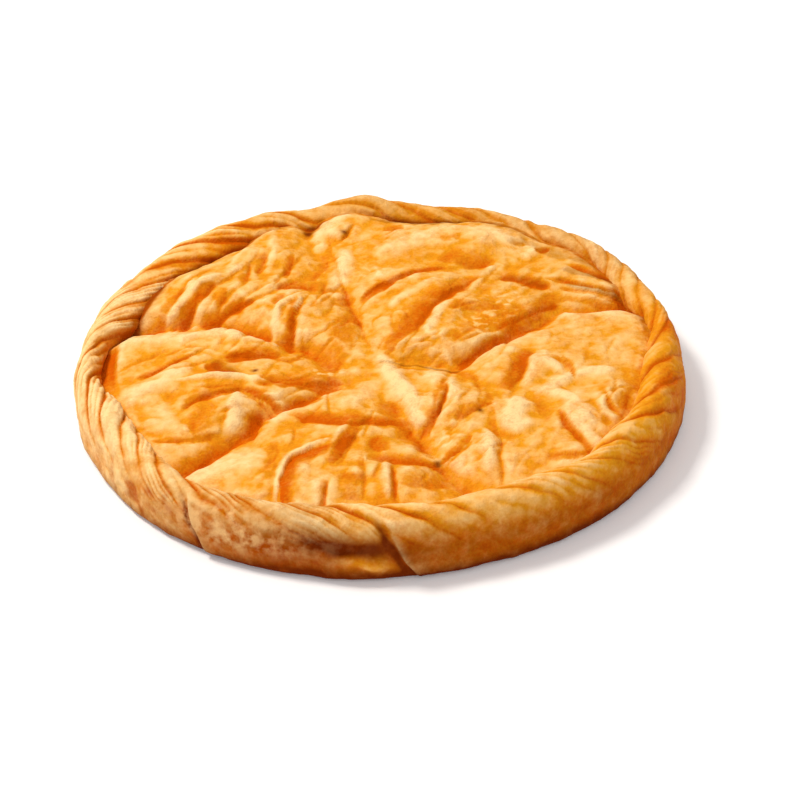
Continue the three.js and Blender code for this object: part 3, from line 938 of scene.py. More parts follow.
strand_size = by_lot(SIZE_LOT) * by_angle(STRAND_SHARES, ring_degrees)
strand_end = by_lot(END_LOT) + by_angle(STRAND_ENDS, ring_degrees)
strand_reach = smoothstep(down, 0, STRAND_START + SIDES_LATER * from_back**2)
strand_reach *= 1 - smoothstep(down, strand_end - FADE_BEFORE, strand_end + FADE_AFTER)
strand_fade = EVEN_FADE + layered_noise(ring_places, PATCHY_FADE)
rounded = np.clip(1 - from_back**2, 0, 1) ** STRAND_ROUNDNESS
strands = STRAND_HEIGHT * strand_size * strand_fade * strand_reach * rounded
# painted shade in orange along each groove, used for the colours further down
groove_shade_strength = np.array(GROOVES)[(strand + (across > 0.5)) % len(GROOVES), 2]
grooves = groove_shade_strength * strand_reach * strand_fade * bump(1 - from_back, GROOVE_WIDTH)
print("strands: standing out up to", round(strands.max(), 1), "mm")

# %% [markdown]
# ## Fibres of the strands
# Each strand is a few thin sheets, and their edges show as fine lines along it. A wave across the strand
# gives them, with a noise that lets them wander and fade.

# %% Fibres
FIBRE_HEIGHT = 1.1
FIBRE_COUNTS = (2, 5)
FIBRE_SPREAD = (0.02, 0.12, 0.45, 0.75)
FIBRE_LINE_WIDTH = 0.3
FIBRE_RAMBLES = ((14, 0.12, 50),)
# how much the fibres show, at these angles, and the noise and its limits between which they fade
FIBRE_SHARES = {
    0: 0.35, 40: 0.4, 90: 0.5, 130: 0.9, 215: 0.8, 240: 0.9, 258: 0.8, 270: 0.5, 310: 0.55, 345: 0.5,
}
FIBRE_FADES = ((20, 1.0, 8),)
FADE_LIMITS = (-0.45, 0.25)

fibre_count = draws.integers(*FIBRE_COUNTS, len(GROOVES))[strand]
fibre_wave = np.abs(np.sin(np.pi * fibre_count * (across + layered_noise(ring_places, FIBRE_RAMBLES))))
patchy = smoothstep(layered_noise(ring_places, FIBRE_FADES), *FADE_LIMITS)
patchy *= by_angle(FIBRE_SHARES, ring_degrees) * spread(down, FIBRE_SPREAD)
fibres = FIBRE_HEIGHT * patchy * fibre_wave
fibre_lines = patchy * bump(fibre_wave, FIBRE_LINE_WIDTH)
print("fibres: up to", round(fibres.max(), 1), "mm")

# %% [markdown]
# ## Sheet edges on the wall
# Low on the wall the outer sheets end in flaps that overlap like shingles. The lip of each is a short
# steep step, and the flap then sinks slowly back into the wall. In front the roll hangs over a hollow,
# with a small bulge under it.

# %% Flaps
# angle in degrees halfway down, how far the edge leans from top to bottom, and share of the thickness
FLAP_EDGES = ((24, 6, 0.5), (66, 6, 0.5), (112, 6, 0.5), (151, 6, 0.5), (233.5, 11, 1), (270.5, 12, 1))
FLAP_THICKNESS = 2.2
FLAP_LENGTH = 55
FLAP_LIP = 1.8
FLAP_SPREAD = (0.38, 0.48, 0.85, 0.97)
FLAP_RAMBLES = ((12, 0.7, 6),)

wall_degrees = ring_degrees + layered_noise(ring_places, FLAP_RAMBLES)
flaps, flap_lip_shadows = np.zeros((2, len(down)))
for edge, lean, thickness in FLAP_EDGES:
    past = np.radians(turned(wall_degrees - edge - lean * (down - 0.5))) * OUTER_RADIUS
    flaps += thickness * smoothstep(past, 0, FLAP_LIP) * (1 - smoothstep(past, FLAP_LIP, FLAP_LENGTH))
    # a painted shadow in brown beside each flap's lip, where the lip shades the wall
    flap_lip_shadows = np.maximum(flap_lip_shadows, thickness * bump(past + FLAP_LIP, FLAP_LIP))
flaps *= FLAP_THICKNESS * spread(down, FLAP_SPREAD)
flap_lip_shadows *= spread(down, FLAP_SPREAD)
print("flaps:", len(FLAP_EDGES), "up to", round(flaps.max(), 1), "mm thick")

# %% Hollow and bulge in front
# angle and reach in degrees, and share of the way down and its reach
HOLLOW_PLACE = (263.5, 9.5, 0.61, 0.1)
HOLLOW_DEPTH = 2.8
BULGE_PLACE = (267, 4.5, 0.76, 0.06)
BULGE_HEIGHT = 1.3
PATCH_SLANT = 0.006
PATCH_RAMBLES = ((9, 0.04, 15),)


def patch(middle, reach, down_middle, down_reach):
    """A soft patch of the wall round an angle and a share of the way down, lower on its right."""
    aside = turned(wall_degrees - middle)
    below = down - down_middle - PATCH_SLANT * aside + layered_noise(ring_places, PATCH_RAMBLES)
    return bump(aside, reach) * bump(below, down_reach)


hollow_front = patch(*HOLLOW_PLACE)
bulge_front = patch(*BULGE_PLACE)
wall_relief = flaps - HOLLOW_DEPTH * hollow_front + BULGE_HEIGHT * bulge_front
print("wall relief: from", round(wall_relief.min(), 1), "to", round(wall_relief.max(), 1), "mm")

# %% [markdown]
# ## Outline and crown
# A hand-rolled rim is no true circle, and its crown rises and sinks on its way round. A few waves and
# bumps, read off round the pie, give both.

# %% Outline and crown
# waves on the way round, size, phase
OUTLINE_WAVES = ((2, 0.7, 0.6), (3, 0.6, 2.1), (5, 0.4, 4.0))
# angle in degrees, how far the outline stands out, reach in degrees
OUTLINE_BUMPS = (
    (208, -2.0, 15), (264, 1.3, 10), (303, 2.0, 18), (32, 2.0, 12), (8, 1.6, 10), (145, 2.4, 9),
    (62, 0.6, 8), (350, 0.8, 10), (175, 0.5, 10),
)
# angle in degrees, rise of the crown, reach in degrees
CROWN_BUMPS = (
    (92, 2.4, 6), (105, -1.5, 4), (79, -2.2, 8), (62, -1.4, 8), (52, -1.8, 3), (38, 1.6, 8),
    (128, 0.6, 8), (232, -3.4, 15), (286, 1.4, 18),
)


def bumps_round(bumps, degrees):
    """The sum of bumps at some angles, each with its size and reach."""
    return sum(size * bump(turned(degrees - at), reach) for at, size, reach in bumps)


def uneven_outline(radius, angle):
    """The radius on the pie's outline, which is a little wavy."""
    wobble = sum(size * np.sin(waves * angle + phase) for waves, size, phase in OUTLINE_WAVES)
    wobble += bumps_round(OUTLINE_BUMPS, np.degrees(angle))
    return radius * (1 + wobble * radius / OUTER_RADIUS**2)


crown_rise = bumps_round(CROWN_BUMPS, ring_degrees) * smoothstep(ring_height, BELLY_HEIGHT, RIM_HEIGHT)
print("crown: from", round(crown_rise.min(), 1), "to", round(crown_rise.max(), 1), "mm off its height")

# %% [markdown]
# ## Shape of the case
# All this relief pushes the skin out from the middle of the roll. Slow and fine noise on top keeps any
# stretch from looking turned on a lathe. A seat inside and rings under the foot then close the case.

# %% Shape the case
CASE_UNEVEN = ((40, 1.0, 70), (16, 0.8, 71), (6.5, 0.4, 72), (3, 0.18, 73))
UNEVEN_SPREAD = (0, 0.1, 0.9, 1)
# the roll is set back under the strands, so that they don't make it thicker
ROLL_SETBACK = STRAND_HEIGHT / 3
ROLL_SPREAD = (0, 0.08, 0.4, 0.8)
FLANK_ENDS = (0.1, 0.5)

out = ring_radius - CROWN_RADIUS
up = ring_height - BELLY_HEIGHT
push = strands + fibres - ROLL_SETBACK * spread(down, ROLL_SPREAD) + wall_relief
push += spread(down, UNEVEN_SPREAD) * layered_noise(ring_places, CASE_UNEVEN)
push /= np.maximum(np.hypot(out, up), 1)
set_back = by_angle(FLANK_SETBACKS, ring_degrees) * (1 - smoothstep(down, *FLANK_ENDS))
shaped_radius = uneven_outline(CROWN_RADIUS + set_back + out * (1 + push), ring_angle)
shaped_height = np.maximum(ring_height + up * push + crown_rise, 0)
shaped_height[down == 1] = 0
case_shape = np.column_stack((
    shaped_radius * np.cos(ring_angle), shaped_radius * np.sin(ring_angle), shaped_height,
))
for vert, place in zip(case.verts, case_shape):
    vert.co = place
print("case shaped: size", [round(s, 1) for s in case_shape.max(0) - case_shape.min(0)], "mm")

# %% Close the case
SEAT_LEVEL = 10
FOOT_RINGS = (90, 40)

seat_edge = extrude_ring(case, inner_edge, FLANK_RADIUS, SEAT_LEVEL)
bmesh.ops.contextual_create(case, geom=seat_edge)
for foot_radius in FOOT_RINGS:
    outer_edge = extrude_ring(case, outer_edge, foot_radius, 0)
bmesh.ops.contextual_create(case, geom=outer_edge)
print("case closed:", len(case.faces), "faces")

# %% [markdown]
# ## Two pieces that stand for the pie
# Both skins are closed bodies now. The lid gets the same wavy outline as the case, both are brought to
# metres, and both ride on the one body and stand for the one solid.

# %% Make the pieces
def make_piece(name, bm):
    """A smooth object in metres from a skin in millimetres, riding on the pie's body."""
    bmesh.ops.recalc_face_normals(bm, faces=bm.faces)
    bmesh.ops.scale(bm, vec=(MM, MM, MM), verts=bm.verts)
    mesh = bpy.data.meshes.new(name)
    bm.to_mesh(mesh)
    bm.free()
    mesh.polygons.foreach_set("use_smooth", [True] * len(mesh.polygons))
    piece = bpy.data.objects.new(name, mesh)
    bpy.context.scene.collection.objects.link(piece)
    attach(piece, "root")
    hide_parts("pie")
    print(name, sum(len(face.vertices) - 2 for face in mesh.polygons), "triangles")
    return mesh


for vert in lid.verts:
    wavy = uneven_outline(math.hypot(vert.co.x, vert.co.y), math.atan2(vert.co.y, vert.co.x))
    vert.co.xy = vert.co.xy.normalized() * wavy
lid_mesh = make_piece("pie_lid", lid)
case_mesh = make_piece("pie_case", case)

# %% [markdown]
# ## Where the skin is hollow
# Edges that stand up get a painted highlight and hollows get painted shade in orange, on every fold,
# wrinkle and fibre. How far a point lies below the mean of its surroundings says which it is, so the skin
# is blurred over its own edges and compared with itself, once over a short distance and once over a
# longer one.

# %% Hollows
FINE_ROUNDS = 14
BROAD_ROUNDS = 90


def mesh_numbers(items, name, width, kind=np.float32):
    """One property of all of a mesh's items, as rows of that many numbers."""
    numbers = np.empty(len(items) * width, kind)
    items.foreach_get(name, numbers)
    return numbers.reshape(-1, width)


def hollowness(mesh, rounds):
    """How many millimetres each point lies below its blurred surroundings."""
    places = mesh_numbers(mesh.vertices, "co", 3).astype(float)
    normals = mesh_numbers(mesh.vertex_normals, "vector", 3)
    one, other = mesh_numbers(mesh.edges, "vertices", 2, np.int32).T
    size = len(places)
    count = np.bincount(one, minlength=size) + np.bincount(other, minlength=size)
    blurred = places
    for _ in range(rounds):
        total = np.column_stack([
            np.bincount(one, column[other], size) + np.bincount(other, column[one], size)
            for column in blurred.T
        ])
        blurred = 0.5 * blurred + 0.5 * total / count[:, None]
    return ((blurred - places) * normals).sum(1) / MM


def ring_hollowness(mesh, rounds):
    """The case's hollows, less what its round section has all the way round."""
    hollow = hollowness(mesh, rounds)[: len(down)].reshape(CASE_ROWS + 1, CASE_COLUMNS)
    return (hollow - hollow.mean(axis=1, keepdims=True)).ravel()


lid_fine, lid_broad = (hollowness(lid_mesh, rounds)[: len(flat)] for rounds in (FINE_ROUNDS, BROAD_ROUNDS))
case_fine, case_broad = (ring_hollowness(case_mesh, rounds) for rounds in (FINE_ROUNDS, BROAD_ROUNDS))
print("hollows, mm: lid", round(float(lid_broad.std()), 2), "case", round(float(case_broad.std()), 2))

# %% [markdown]
# ## How brown each place of the lid is
# Slopes of the folds and the stretches along the scores are deep orange, partly the crust's own colour and
# partly painted shade. Ridges and domes are pale, partly their own tone and partly a painted highlight.
# Pits and cracks are brown, and so are the gaps where the rim shades the lid's edge, as painted shadow.
# Painting that by hand would not survive a change of the shape, so every reason for a colour is a layer of
# weights, taken from the strokes and the hollows, and a recipe says how much of each goes into pale, orange
# and brown.

# %% Lines along the folds
FULL_LINE_HEIGHT = 2.8
# distance in millimetres over which a painted highlight on an edge and painted shade in a crease
# come up and die away
EDGE_START = (-0.2, 0.8)
EDGE_REACH = 3.5
CREASE_START = (-0.6, 0.4)
CREASE_REACH = 2.0


def fold_lines(points, folds):
    """Painted highlights on the edges right of the crease lines, and painted shade along the crease lines.
    """
    edges, crease_shade = np.zeros((2, len(points)))
    for stroke in folds:
        share, past = past_crease(points, stroke)
        strength = min(1, stroke[5] / FULL_LINE_HEIGHT) * taper(share)
        edge = smoothstep(-past, *EDGE_START) * np.exp(np.minimum(past, 0) / EDGE_REACH)
        crease = smoothstep(past, *CREASE_START) * np.exp(-np.maximum(past, 0) / CREASE_REACH)
        edges = np.maximum(edges, strength * edge)
        crease_shade = np.maximum(crease_shade, strength * crease)
    return edges, crease_shade


# the first weight is a painted highlight on each fold's lit edge, the second painted shade in its crease
edges, crease_shade = fold_lines(seen, large_folds + little_folds)
print("mean weight of lit edges:", round(edges.mean(), 2), "and of creases:", round(crease_shade.mean(), 2))

# %% Scorched places and painted shade, spots and blisters
# brown strokes: scorched lines and cracks, and painted shade in the gaps next to the rim at the back
# start x, start y, end x, end y, bow to the left, width, strength
SCORCHED_AND_SHADED = [
    (90, 64, 113, 54, 1, 5, 0.4), (92, 51, 119, 36, 1, 5, 0.4), (74, 94, 100, 72, 0, 7, 0.25),
    (-74, -8, -64, -18, 0, 7, 0.3), (62, 60, 80, 51, 1, 6, 0.25), (66, 92, 74, 98, 0, 7, 0.25),
    (4, 122, 44, 118, 0, 5, 0.4), (2, -14, 20, -15.5, 0, 1.6, 0.45), (19, -15.5, 38, -19, -2, 1.8, 0.6),
]
# x, y, size of the dark spots
SPOTS = [
    (25.5, -93, 1.7), (45, -53, 1.4), (-57, -17, 1.6), (-33, 110, 3.2), (121, 29, 2.4), (-15, 107, 1.6),
]
# x, y, reach of the places with small pale blisters, and the noise that makes them
BLISTERS = [(48, 20, 12), (62, 40, 10), (-24, -22, 9), (30, -74, 8), (-2, 68, 7)]
BLISTER_NOISE = ((2.8, 1.0, 44),)
BLISTER_LIMITS = (0.1, 0.4)
# how much painted shadow, in brown, the lid's edge gets at these angles, where the rim shades the gap
EDGE_SHADOWS = {
    0: 0, 11: 0.5, 15: 0.1, 30: 0.3, 45: 0.2, 60: 0.5, 70: 0.9, 86: 0.7, 91: 0.2, 101: 0.2, 105: 0.9,
    109: 0.2, 118: 0.2, 124: 0.5, 130: 0.4, 136: 0.7, 146: 0.5, 149: 0.2, 152: 0.7, 160: 0.6, 170: 0.8,
    175: 0.2, 180: 0, 200: 0,
}
# the lid's edge on the right, which is deeper in colour: angle and reach in degrees, and where it starts
RIGHT_MIDDLE = -7
RIGHT_REACH = 42
RIGHT_START = (-9, -2)


def round_spots(places):
    """Round spots on the lid, one after the other, each as a weight for all points."""
    return (bump(distance_from(seen, x, y), size) for x, y, size in places)


scorched_and_shaded = stroke_weight(seen, SCORCHED_AND_SHADED, slope)
blisters = sum(round_spots(BLISTERS)) * smoothstep(layered_noise(seen, BLISTER_NOISE), *BLISTER_LIMITS)
right_edge = smoothstep(past_flank, *RIGHT_START) * bump(turned(lid_degrees - RIGHT_MIDDLE), RIGHT_REACH)
print("spots:", len(SPOTS), "scorched places:", len(SCORCHED_AND_SHADED), "groups of blisters:", len(BLISTERS))

# %% [markdown]
# ## The lid's weights of colour and painted light
# The recipes are summed up here. The weights are stored as one colour attribute, which the finish reads:
# red for pale, green for orange, blue for brown and alpha for floury. Besides the crust's own colours, pale
# carries painted highlights and orange and brown carry painted shade.

# %% Lid bake
# painted light in these recipes: the lit edges and the swells bring painted highlights, and the troughs,
# creases, hollows, gutter and sunken left edge bring painted shade
LID_PALE = {
    "even": 0.17, "tone": 1, "bare_and_highlight": 0.75, "streaks": 0.16, "edges": 0.45, "glaze_and_shade": -0.7,
    "crease_shade": -0.4, "broad": -0.4, "fine": -0.4, "left_trough_and_shade": -0.8, "right_edge": -0.3, "blisters": 0.6,
}
LID_ORANGE = {
    "even": 0.04, "tone": -1, "bare_and_highlight": -0.4, "streaks": -0.15, "edges": -0.35, "glaze_and_shade": 0.85,
    "crease_shade": 0.4, "broad": 0.25, "fine": 0.3, "gutter": 0.9, "left_trough_and_shade": 0.7, "right_edge": 0.35,
    "blisters": -0.5,
}
LID_BROWN = {"edge_shadow": 1, "glaze_and_crease_shade": 0.1, "scorched_and_shaded": 1}


def mixed(recipe, layers):
    """The sum of layers, each by its share in a recipe."""
    return sum(share * layers[name] for name, share in recipe.items())


def store_bake(mesh, *weights):
    """Stores the four bake weights of the sculpted points on a piece."""
    table = np.zeros((len(mesh.vertices), 4), np.float32)
    table[: len(weights[0])] = np.clip(np.column_stack(weights), 0, 1)
    layer = mesh.attributes.new("bake_and_painted_light", "FLOAT_COLOR", "POINT")
    layer.data.foreach_set("color", table.ravel())
    print(mesh.name, "bake weights, mean:", [round(float(w), 2) for w in table.mean(0)])


lid_layers = {
    "even": 1, "tone": tone, "bare_and_highlight": bare_and_highlight, "streaks": streaks, "edges": edges, "glaze_and_shade": glaze_and_shade,
    "crease_shade": crease_shade, "broad": lid_broad, "fine": lid_fine, "gutter": gutter, "left_trough_and_shade": sunken[1],
    "right_edge": right_edge, "blisters": blisters, "scorched_and_shaded": scorched_and_shaded,
    "glaze_and_crease_shade": glaze_and_shade * crease_shade, "edge_shadow": by_angle(EDGE_SHADOWS, lid_degrees) * at_edge,
}
lid_brown = np.max([mixed(LID_BROWN, lid_layers), *round_spots(SPOTS)], axis=0)
no_flour = np.zeros(len(flat))
store_bake(lid_mesh, mixed(LID_PALE, lid_layers), mixed(LID_ORANGE, lid_layers), lid_brown, no_flour)

# %% [markdown]
# ## How brown each place of the case is
# The crown is pale on the left and golden on the right, partly its own colour and partly painted light:
# lit on the left, shaded on the right. Its grooves and hollows get painted shade in orange, and the wall
# darkens towards the foot, with painted shade most in front, where it faces away from the key. In front
# on the left the wall is dusted with flour, and the hollow in front is the darkest place, with painted
# shade under the overhanging roll. Tables by angle say how much of each there is on the way round.

# %% Colours on the way round
# how pale, how orange and how tanned the crown is and how brown the wall, at these angles; the paleness
# is partly painted light, and the orange and the wall's brown partly painted shade
CROWN_PALE_AND_LIT = {
    0: -0.2, 15: 0.1, 35: 0.4, 55: 0.35, 75: 0.2, 95: 0.3, 110: 0.2, 125: 0.1, 140: 0.35, 160: 0.8,
    205: 0.75, 220: 0.55, 240: 0.42, 262: 0.36, 285: 0.24, 305: 0.06, 325: -0.15, 345: -0.35,
}
CROWN_ORANGE_AND_SHADE = {
    0: 0.35, 15: 0.15, 35: 0.05, 55: 0.05, 75: 0.2, 95: 0.05, 110: 0.25, 125: 0.4, 140: 0.2, 160: 0,
    215: 0, 228: 0.1, 240: 0.2, 258: 0.15, 268: 0, 285: 0, 305: 0, 325: 0.2, 345: 0.4,
}
CROWN_TAN = {
    0: 0, 20: 0.08, 35: 0.22, 60: 0.2, 95: 0.16, 130: 0, 212: 0.02, 226: 0.08, 240: 0.22, 256: 0.22,
    266: 0.02, 275: 0, 340: 0,
}
WALL_BROWN_AND_SHADE = {
    0: 0.15, 60: 0.4, 120: 0.4, 160: 0.15, 185: 0.05, 212: 0.05, 225: 0.25, 240: 0.45, 252: 0.7,
    312: 0.68, 322: 0.5, 345: 0.3,
}
# how much painted shadow, in brown, the rim's inner flank gets beside the gaps by the lid
FLANK_SHADOWS = {
    0: 0, 58: 0.2, 66: 0.3, 69: 0.9, 82: 0.9, 92: 0.2, 102: 0.3, 105: 0.9, 109: 0.1, 120: 0.1, 126: 0.5,
    130: 0.3, 137: 0.7, 143: 0.5, 149: 0.2, 158: 0.3, 168: 0.4, 174: 0, 180: 0,
}
# how much more golden the crown's inner half is than its outer one: painted shade at the back and on the
# left, where that half faces away from the key light, and painted light where the value is below 0, on
# the right
INNER_HALF_SHADE = {
    0: 0, 50: 0.1, 65: 0.3, 78: 0.6, 100: 0.4, 112: 0.3, 124: 0.8, 140: 0.6, 168: 0.6, 185: 0.6, 200: 0.1,
    260: 0, 300: -0.3, 330: -0.3,
}
# how strongly the painted shade in the grooves, fibre lines and hollows shows
LINE_SHARES = {0: 0.6, 20: 0.4, 100: 0.4, 115: 1.1, 150: 1.1, 200: 1.1, 230: 0.8, 290: 0.9, 340: 0.8}

crown_pale_and_lit = by_angle(CROWN_PALE_AND_LIT, ring_degrees)
crown_orange_and_shade = by_angle(CROWN_ORANGE_AND_SHADE, ring_degrees)
wall_brown_and_shade = by_angle(WALL_BROWN_AND_SHADE, ring_degrees)
line_share = by_angle(LINE_SHARES, ring_degrees)
print("crown: mean pale", round(crown_pale_and_lit.mean(), 2), "orange", round(crown_orange_and_shade.mean(), 2))

# %% Wall, foot and inner flank
# shares of the way down between which each comes up or dies away
WALL_START = (0.4, 0.7)
FOOT_START = (0.78, 0.96)
GUTTER_END = (0.08, 0.22)
FLANK_END = (0.1, 0.2)
GOLD_END = (0.2, 0.42)
# how brown the foot is all round, and how much more where the wall is brown
FOOT_BROWN = (0.7, 0.4)
WALL_LOSES_TAN = 0.8

wall = smoothstep(down, *WALL_START)
foot = smoothstep(down, *FOOT_START) * (FOOT_BROWN[0] + FOOT_BROWN[1] * wall_brown_and_shade)
tan = by_angle(CROWN_TAN, ring_degrees) * (1 - WALL_LOSES_TAN * wall)
# painted shade: orange in the gutter, partly own colour, and brown on the inner flank
gutter_shade = by_angle(GUTTER_SHARES, ring_degrees) * (1 - smoothstep(down, *GUTTER_END))
flank = by_angle(FLANK_SHADOWS, ring_degrees) * (1 - smoothstep(down, *FLANK_END))
inner_half_shade = by_angle(INNER_HALF_SHADE, ring_degrees) * (1 - smoothstep(down, *GOLD_END))
print("mean weight of the wall:", round(wall.mean(), 2), "and of the foot:", round(foot.mean(), 2))

# %% Strands, mottles and flour
TONE_LOT = (-0.15, 0.15)
# a painted highlight along each strand's raised back, and its width
BACK_HIGHLIGHT = 0.25
BACK_WIDTH = 0.5
# painted shade in the case's hollows, fibre lines and grooves: the share of each
HOLLOW_SHADE = {"broad": 0.5, "fine": 0.45, "fibre_lines": 0.12, "grooves": 0.35}
PALE_LOSES_HOLLOW_SHADE = 0.3
# angle and reach in degrees, then the shares of the way down between which each comes and goes
MOTTLE_PLACE = (222, 14)
MOTTLE_SPREAD = (0.4, 0.55, 0.85, 0.95)
MOTTLE_NOISE = ((7, 1.0, 33),)
MOTTLE_LIMITS = (-0.1, 0.4)
RED_PLACES = ((4, 5), (342, 5))
RED_SPREAD = (0.25, 0.35, 0.45, 0.6)
FLOUR_PLACE = (242, 13)
FLOUR_SPREAD = (0.36, 0.46, 0.68, 0.85)


def stretch_round(middle, reach, stages):
    """A weight round one angle, over a stretch of the way down."""
    return bump(turned(ring_degrees - middle), reach) * spread(down, stages)


strand_tone_and_highlight = (by_lot(TONE_LOT) + BACK_HIGHLIGHT * bump(from_back, BACK_WIDTH)) * strand_reach
# paint: that painted shade, weaker where the crown is pale
hollow_shade_layers = {"broad": case_broad, "fine": case_fine, "fibre_lines": fibre_lines, "grooves": grooves}
paint = mixed(HOLLOW_SHADE, hollow_shade_layers) * (1 - PALE_LOSES_HOLLOW_SHADE * crown_pale_and_lit) * line_share
mottle = stretch_round(*MOTTLE_PLACE, MOTTLE_SPREAD)
mottle *= smoothstep(layered_noise(ring_places, MOTTLE_NOISE), *MOTTLE_LIMITS)
red_patches = sum(stretch_round(*place, RED_SPREAD) for place in RED_PLACES)
flour = stretch_round(*FLOUR_PLACE, FLOUR_SPREAD)
print("flour on", round(100 * float((flour > 0.5).mean()), 1), "% of the case")

# %% Case bake
# painted light in these recipes: the crown's paleness and the strands' backs bring painted light, and the
# crown's orange, the paint of hollows and grooves, the gutter, the flank, the flap lips, the hollow in
# front and the wall's brown bring painted shade, on top of the crust's own colours
CASE_PALE = {
    "crown_pale_and_lit": 1, "strand_tone_and_highlight": 1, "paint": -1, "gutter": -1, "inner_half_shade": -0.6, "bulge": -0.5,
}
CASE_ORANGE = {
    "crown_orange_and_shade": 1, "wall": 1, "strand_tone_and_highlight": -1, "paint": 1, "gutter": 1, "inner_half_shade": 0.3,
    "mottle": 0.5, "red_patches": 0.5,
}
CASE_BROWN = {
    "tan": 1, "wall": 0.75, "foot": 0.8, "flap_lip_shadows": 0.6, "flank": 0.8, "hollow": 0.75, "bulge": -0.6,
    "fibre_lines": 0.12, "grooves": 0.25, "mottle": 0.2,
}

case_layers = {
    "crown_pale_and_lit": crown_pale_and_lit * (1 - wall * wall_brown_and_shade), "crown_orange_and_shade": crown_orange_and_shade, "tan": tan,
    "wall": wall_brown_and_shade * wall, "foot": foot, "flank": flank, "gutter": gutter_shade,
    "inner_half_shade": inner_half_shade, "strand_tone_and_highlight": strand_tone_and_highlight, "paint": paint,
    "fibre_lines": fibre_lines * line_share, "grooves": grooves * line_share,
    "flap_lip_shadows": flap_lip_shadows, "hollow": hollow_front, "bulge": bulge_front, "mottle": mottle,
    "red_patches": red_patches,
}
case_weights = [mixed(recipe, case_layers) for recipe in (CASE_PALE, CASE_ORANGE, CASE_BROWN)]
store_bake(case_mesh, *case_weights, flour)

# %% [markdown]
# ## The crust's finish
# Egg-washed pastry: golden, from cream on the raised edges to deep orange in the troughs and brown at the
# foot, with soft blotches, fine blisters and a dull sheen. The cream is partly a painted highlight, and the
# deep orange and brown are partly painted shade. The stored weights choose between the colours, and noise
# breaks up their borders.

# %% Colours of the crust
def linear(red, green, blue):
    """A colour as a shader takes it, from the 0 to 255 values seen on a screen."""
    return tuple((c / 255) ** 2.2 for c in (red, green, blue))


# cream also serves for painted highlights, deep orange and brown for painted shade
GOLDEN = linear(232, 156, 34)
CREAM = linear(249, 210, 150)
DEEP_ORANGE = linear(204, 92, 0)
BROWN = linear(108, 42, 4)
FLOUR = linear(228, 176, 116)
print("golden, for the shader:", [round(c, 3) for c in GOLDEN])

# %% [markdown]
# ## A bench for nodes
# A material is a tree of nodes that are added and joined one by one. A small class with short ways to do
# that keeps the finish itself readable.

# %% Node bench
class NodeBench:
    """A material's nodes, with short ways to add and join them."""

    def __init__(self, name):
        self.material = bpy.data.materials.new(name)
        self.material.use_nodes = True
        self.tree = self.material.node_tree
        self.shader = self.tree.nodes["Principled BSDF"]

    def add(self, kind, inputs=(), **settings):
        """A node with its settings, and with its inputs joined or set by name or number."""
        node = self.tree.nodes.new(kind)
        for key, value in settings.items():
            setattr(node, key, value)
        for key, value in dict(inputs).items():
            self.feed(node.inputs[key], value)
        return node

    def feed(self, socket, value):
        """Joins a socket to another node's output, or sets its value."""
        if isinstance(value, bpy.types.NodeSocket):
            self.tree.links.new(value, socket)
        else:
            socket.default_value = value

    def mix(self, share, one, other):
        """A colour between two, of which the first may come from another node."""
        node = self.add("ShaderNodeMix", {0: share}, data_type="RGBA")
        self.feed(node.inputs[6], one if isinstance(one, bpy.types.NodeSocket) else (*one, 1))
        self.feed(node.inputs[7], (*other, 1))
        return node.outputs[2]

    def math(self, operation, one, other, third=0.0, clamp=False):
        """A sum on two or three values."""
        inputs = {0: one, 1: other, 2: third}
        return self.add("ShaderNodeMath", inputs, operation=operation, use_clamp=clamp).outputs[0]

    def total(self, start, *parts):
        """A start value plus each part times its factor."""
        for value, factor in parts:
            start = self.math("MULTIPLY_ADD", value, factor, start)
        return start

    def noise(self, place, kind):
        """Soft noise from 0 to 1, with its waves to the metre, detail and twist."""
        scale, detail, twist = kind
        inputs = {"Vector": place, "Scale": scale, "Detail": detail, "Distortion": twist}
        return self.add("ShaderNodeTexNoise", inputs).outputs["Fac"]

    def bump(self, height, kind, **inputs):
        """A bump with its strength and distance in metres."""
        strength, distance = kind
        inputs |= {"Height": height, "Strength": strength, "Distance": distance}
        return self.add("ShaderNodeBump", inputs).outputs[0]


# %% Crust material
# waves to the metre, detail and twist of the noises
BLOTCHES = (75, 4, 0.5)
FLECKS = (220, 4, 0.3)
SPECKS = (800, 3, 0.0)
DUSTING = (210, 5, 0.0)
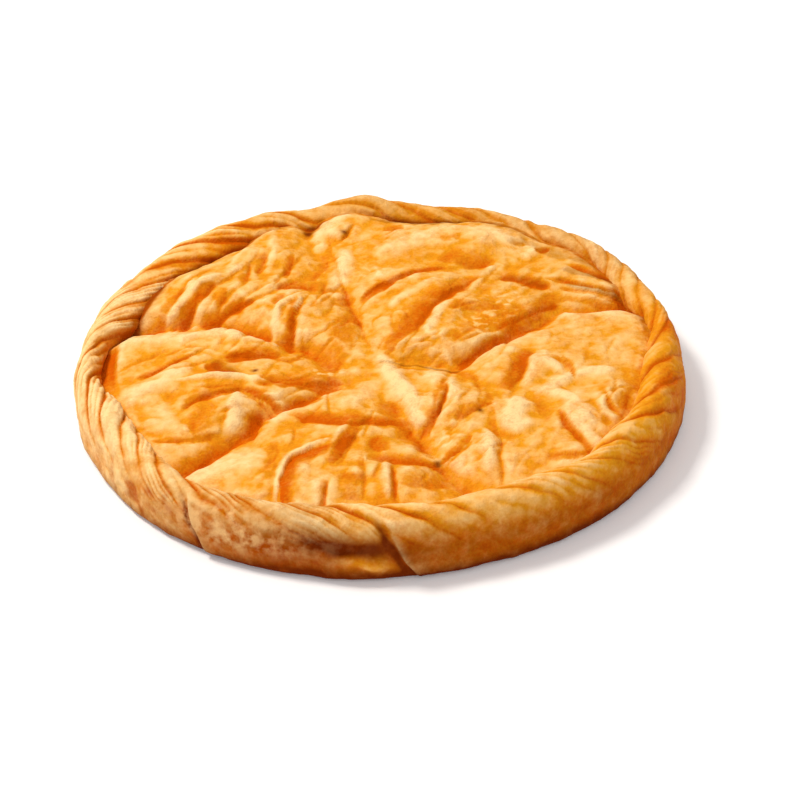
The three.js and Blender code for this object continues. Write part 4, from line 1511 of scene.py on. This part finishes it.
# what the noises do to each weight: a start, and the shares of blotches, flecks and specks
PALE_NOISE = {"start": -0.8, "blotch": 0.8, "fleck": 0.8}
ORANGE_NOISE = {"start": 0.05, "blotch": -0.9, "speck": 0.8}
BROWN_NOISE = {"start": 0.25, "fleck": -0.5}
DUST_LIMITS = (0.42, 0.62)
DULLNESS = (0.5, 0.75)
# strength and distance in metres
SPECK_BUMP = (0.35, 0.0007)
FLECK_BUMP = (0.6, 0.002)
GLOSS_LEVEL = 0.02


def crust_material():
    """Golden pastry whose colours follow the bake weights."""
    bench = NodeBench("baked_crust")
    place = bench.add("ShaderNodeTexCoord").outputs["Object"]
    weights = bench.add("ShaderNodeAttribute", attribute_name="bake_and_painted_light")
    pale, orange, brown = bench.add("ShaderNodeSeparateColor", {0: weights.outputs["Color"]}).outputs
    noises = {
        "blotch": bench.noise(place, BLOTCHES), "fleck": bench.noise(place, FLECKS),
        "speck": bench.noise(place, SPECKS),
    }
    colour = GOLDEN
    for weight, recipe, paint in (
        (pale, PALE_NOISE, CREAM), (orange, ORANGE_NOISE, DEEP_ORANGE), (brown, BROWN_NOISE, BROWN),
    ):
        parts = [(noises[name], share) for name, share in recipe.items() if name != "start"]
        broken = bench.total(recipe["start"], *parts)
        colour = bench.mix(bench.math("ADD", weight, broken, clamp=True), colour, paint)
    low, high = DUST_LIMITS
    dusted = bench.add("ShaderNodeMapRange", {0: bench.noise(place, DUSTING), 1: low, 2: high}).outputs[0]
    dust = bench.math("MULTIPLY", weights.outputs["Alpha"], dusted, clamp=True)
    bench.feed(bench.shader.inputs["Base Color"], bench.mix(dust, colour, FLOUR))
    low, high = DULLNESS
    dull = bench.add("ShaderNodeMapRange", {0: noises["speck"], 3: low, 4: high}).outputs[0]
    bench.feed(bench.shader.inputs["Roughness"], dull)
    grain = bench.bump(noises["speck"], SPECK_BUMP)
    bench.feed(bench.shader.inputs["Normal"], bench.bump(noises["fleck"], FLECK_BUMP, Normal=grain))
    bench.shader.inputs["Specular IOR Level"].default_value = GLOSS_LEVEL
    return bench.material


crust = crust_material()
for mesh in (lid_mesh, case_mesh):
    mesh.materials.append(crust)
print("material:", crust.name, "with", len(crust.node_tree.nodes), "nodes")
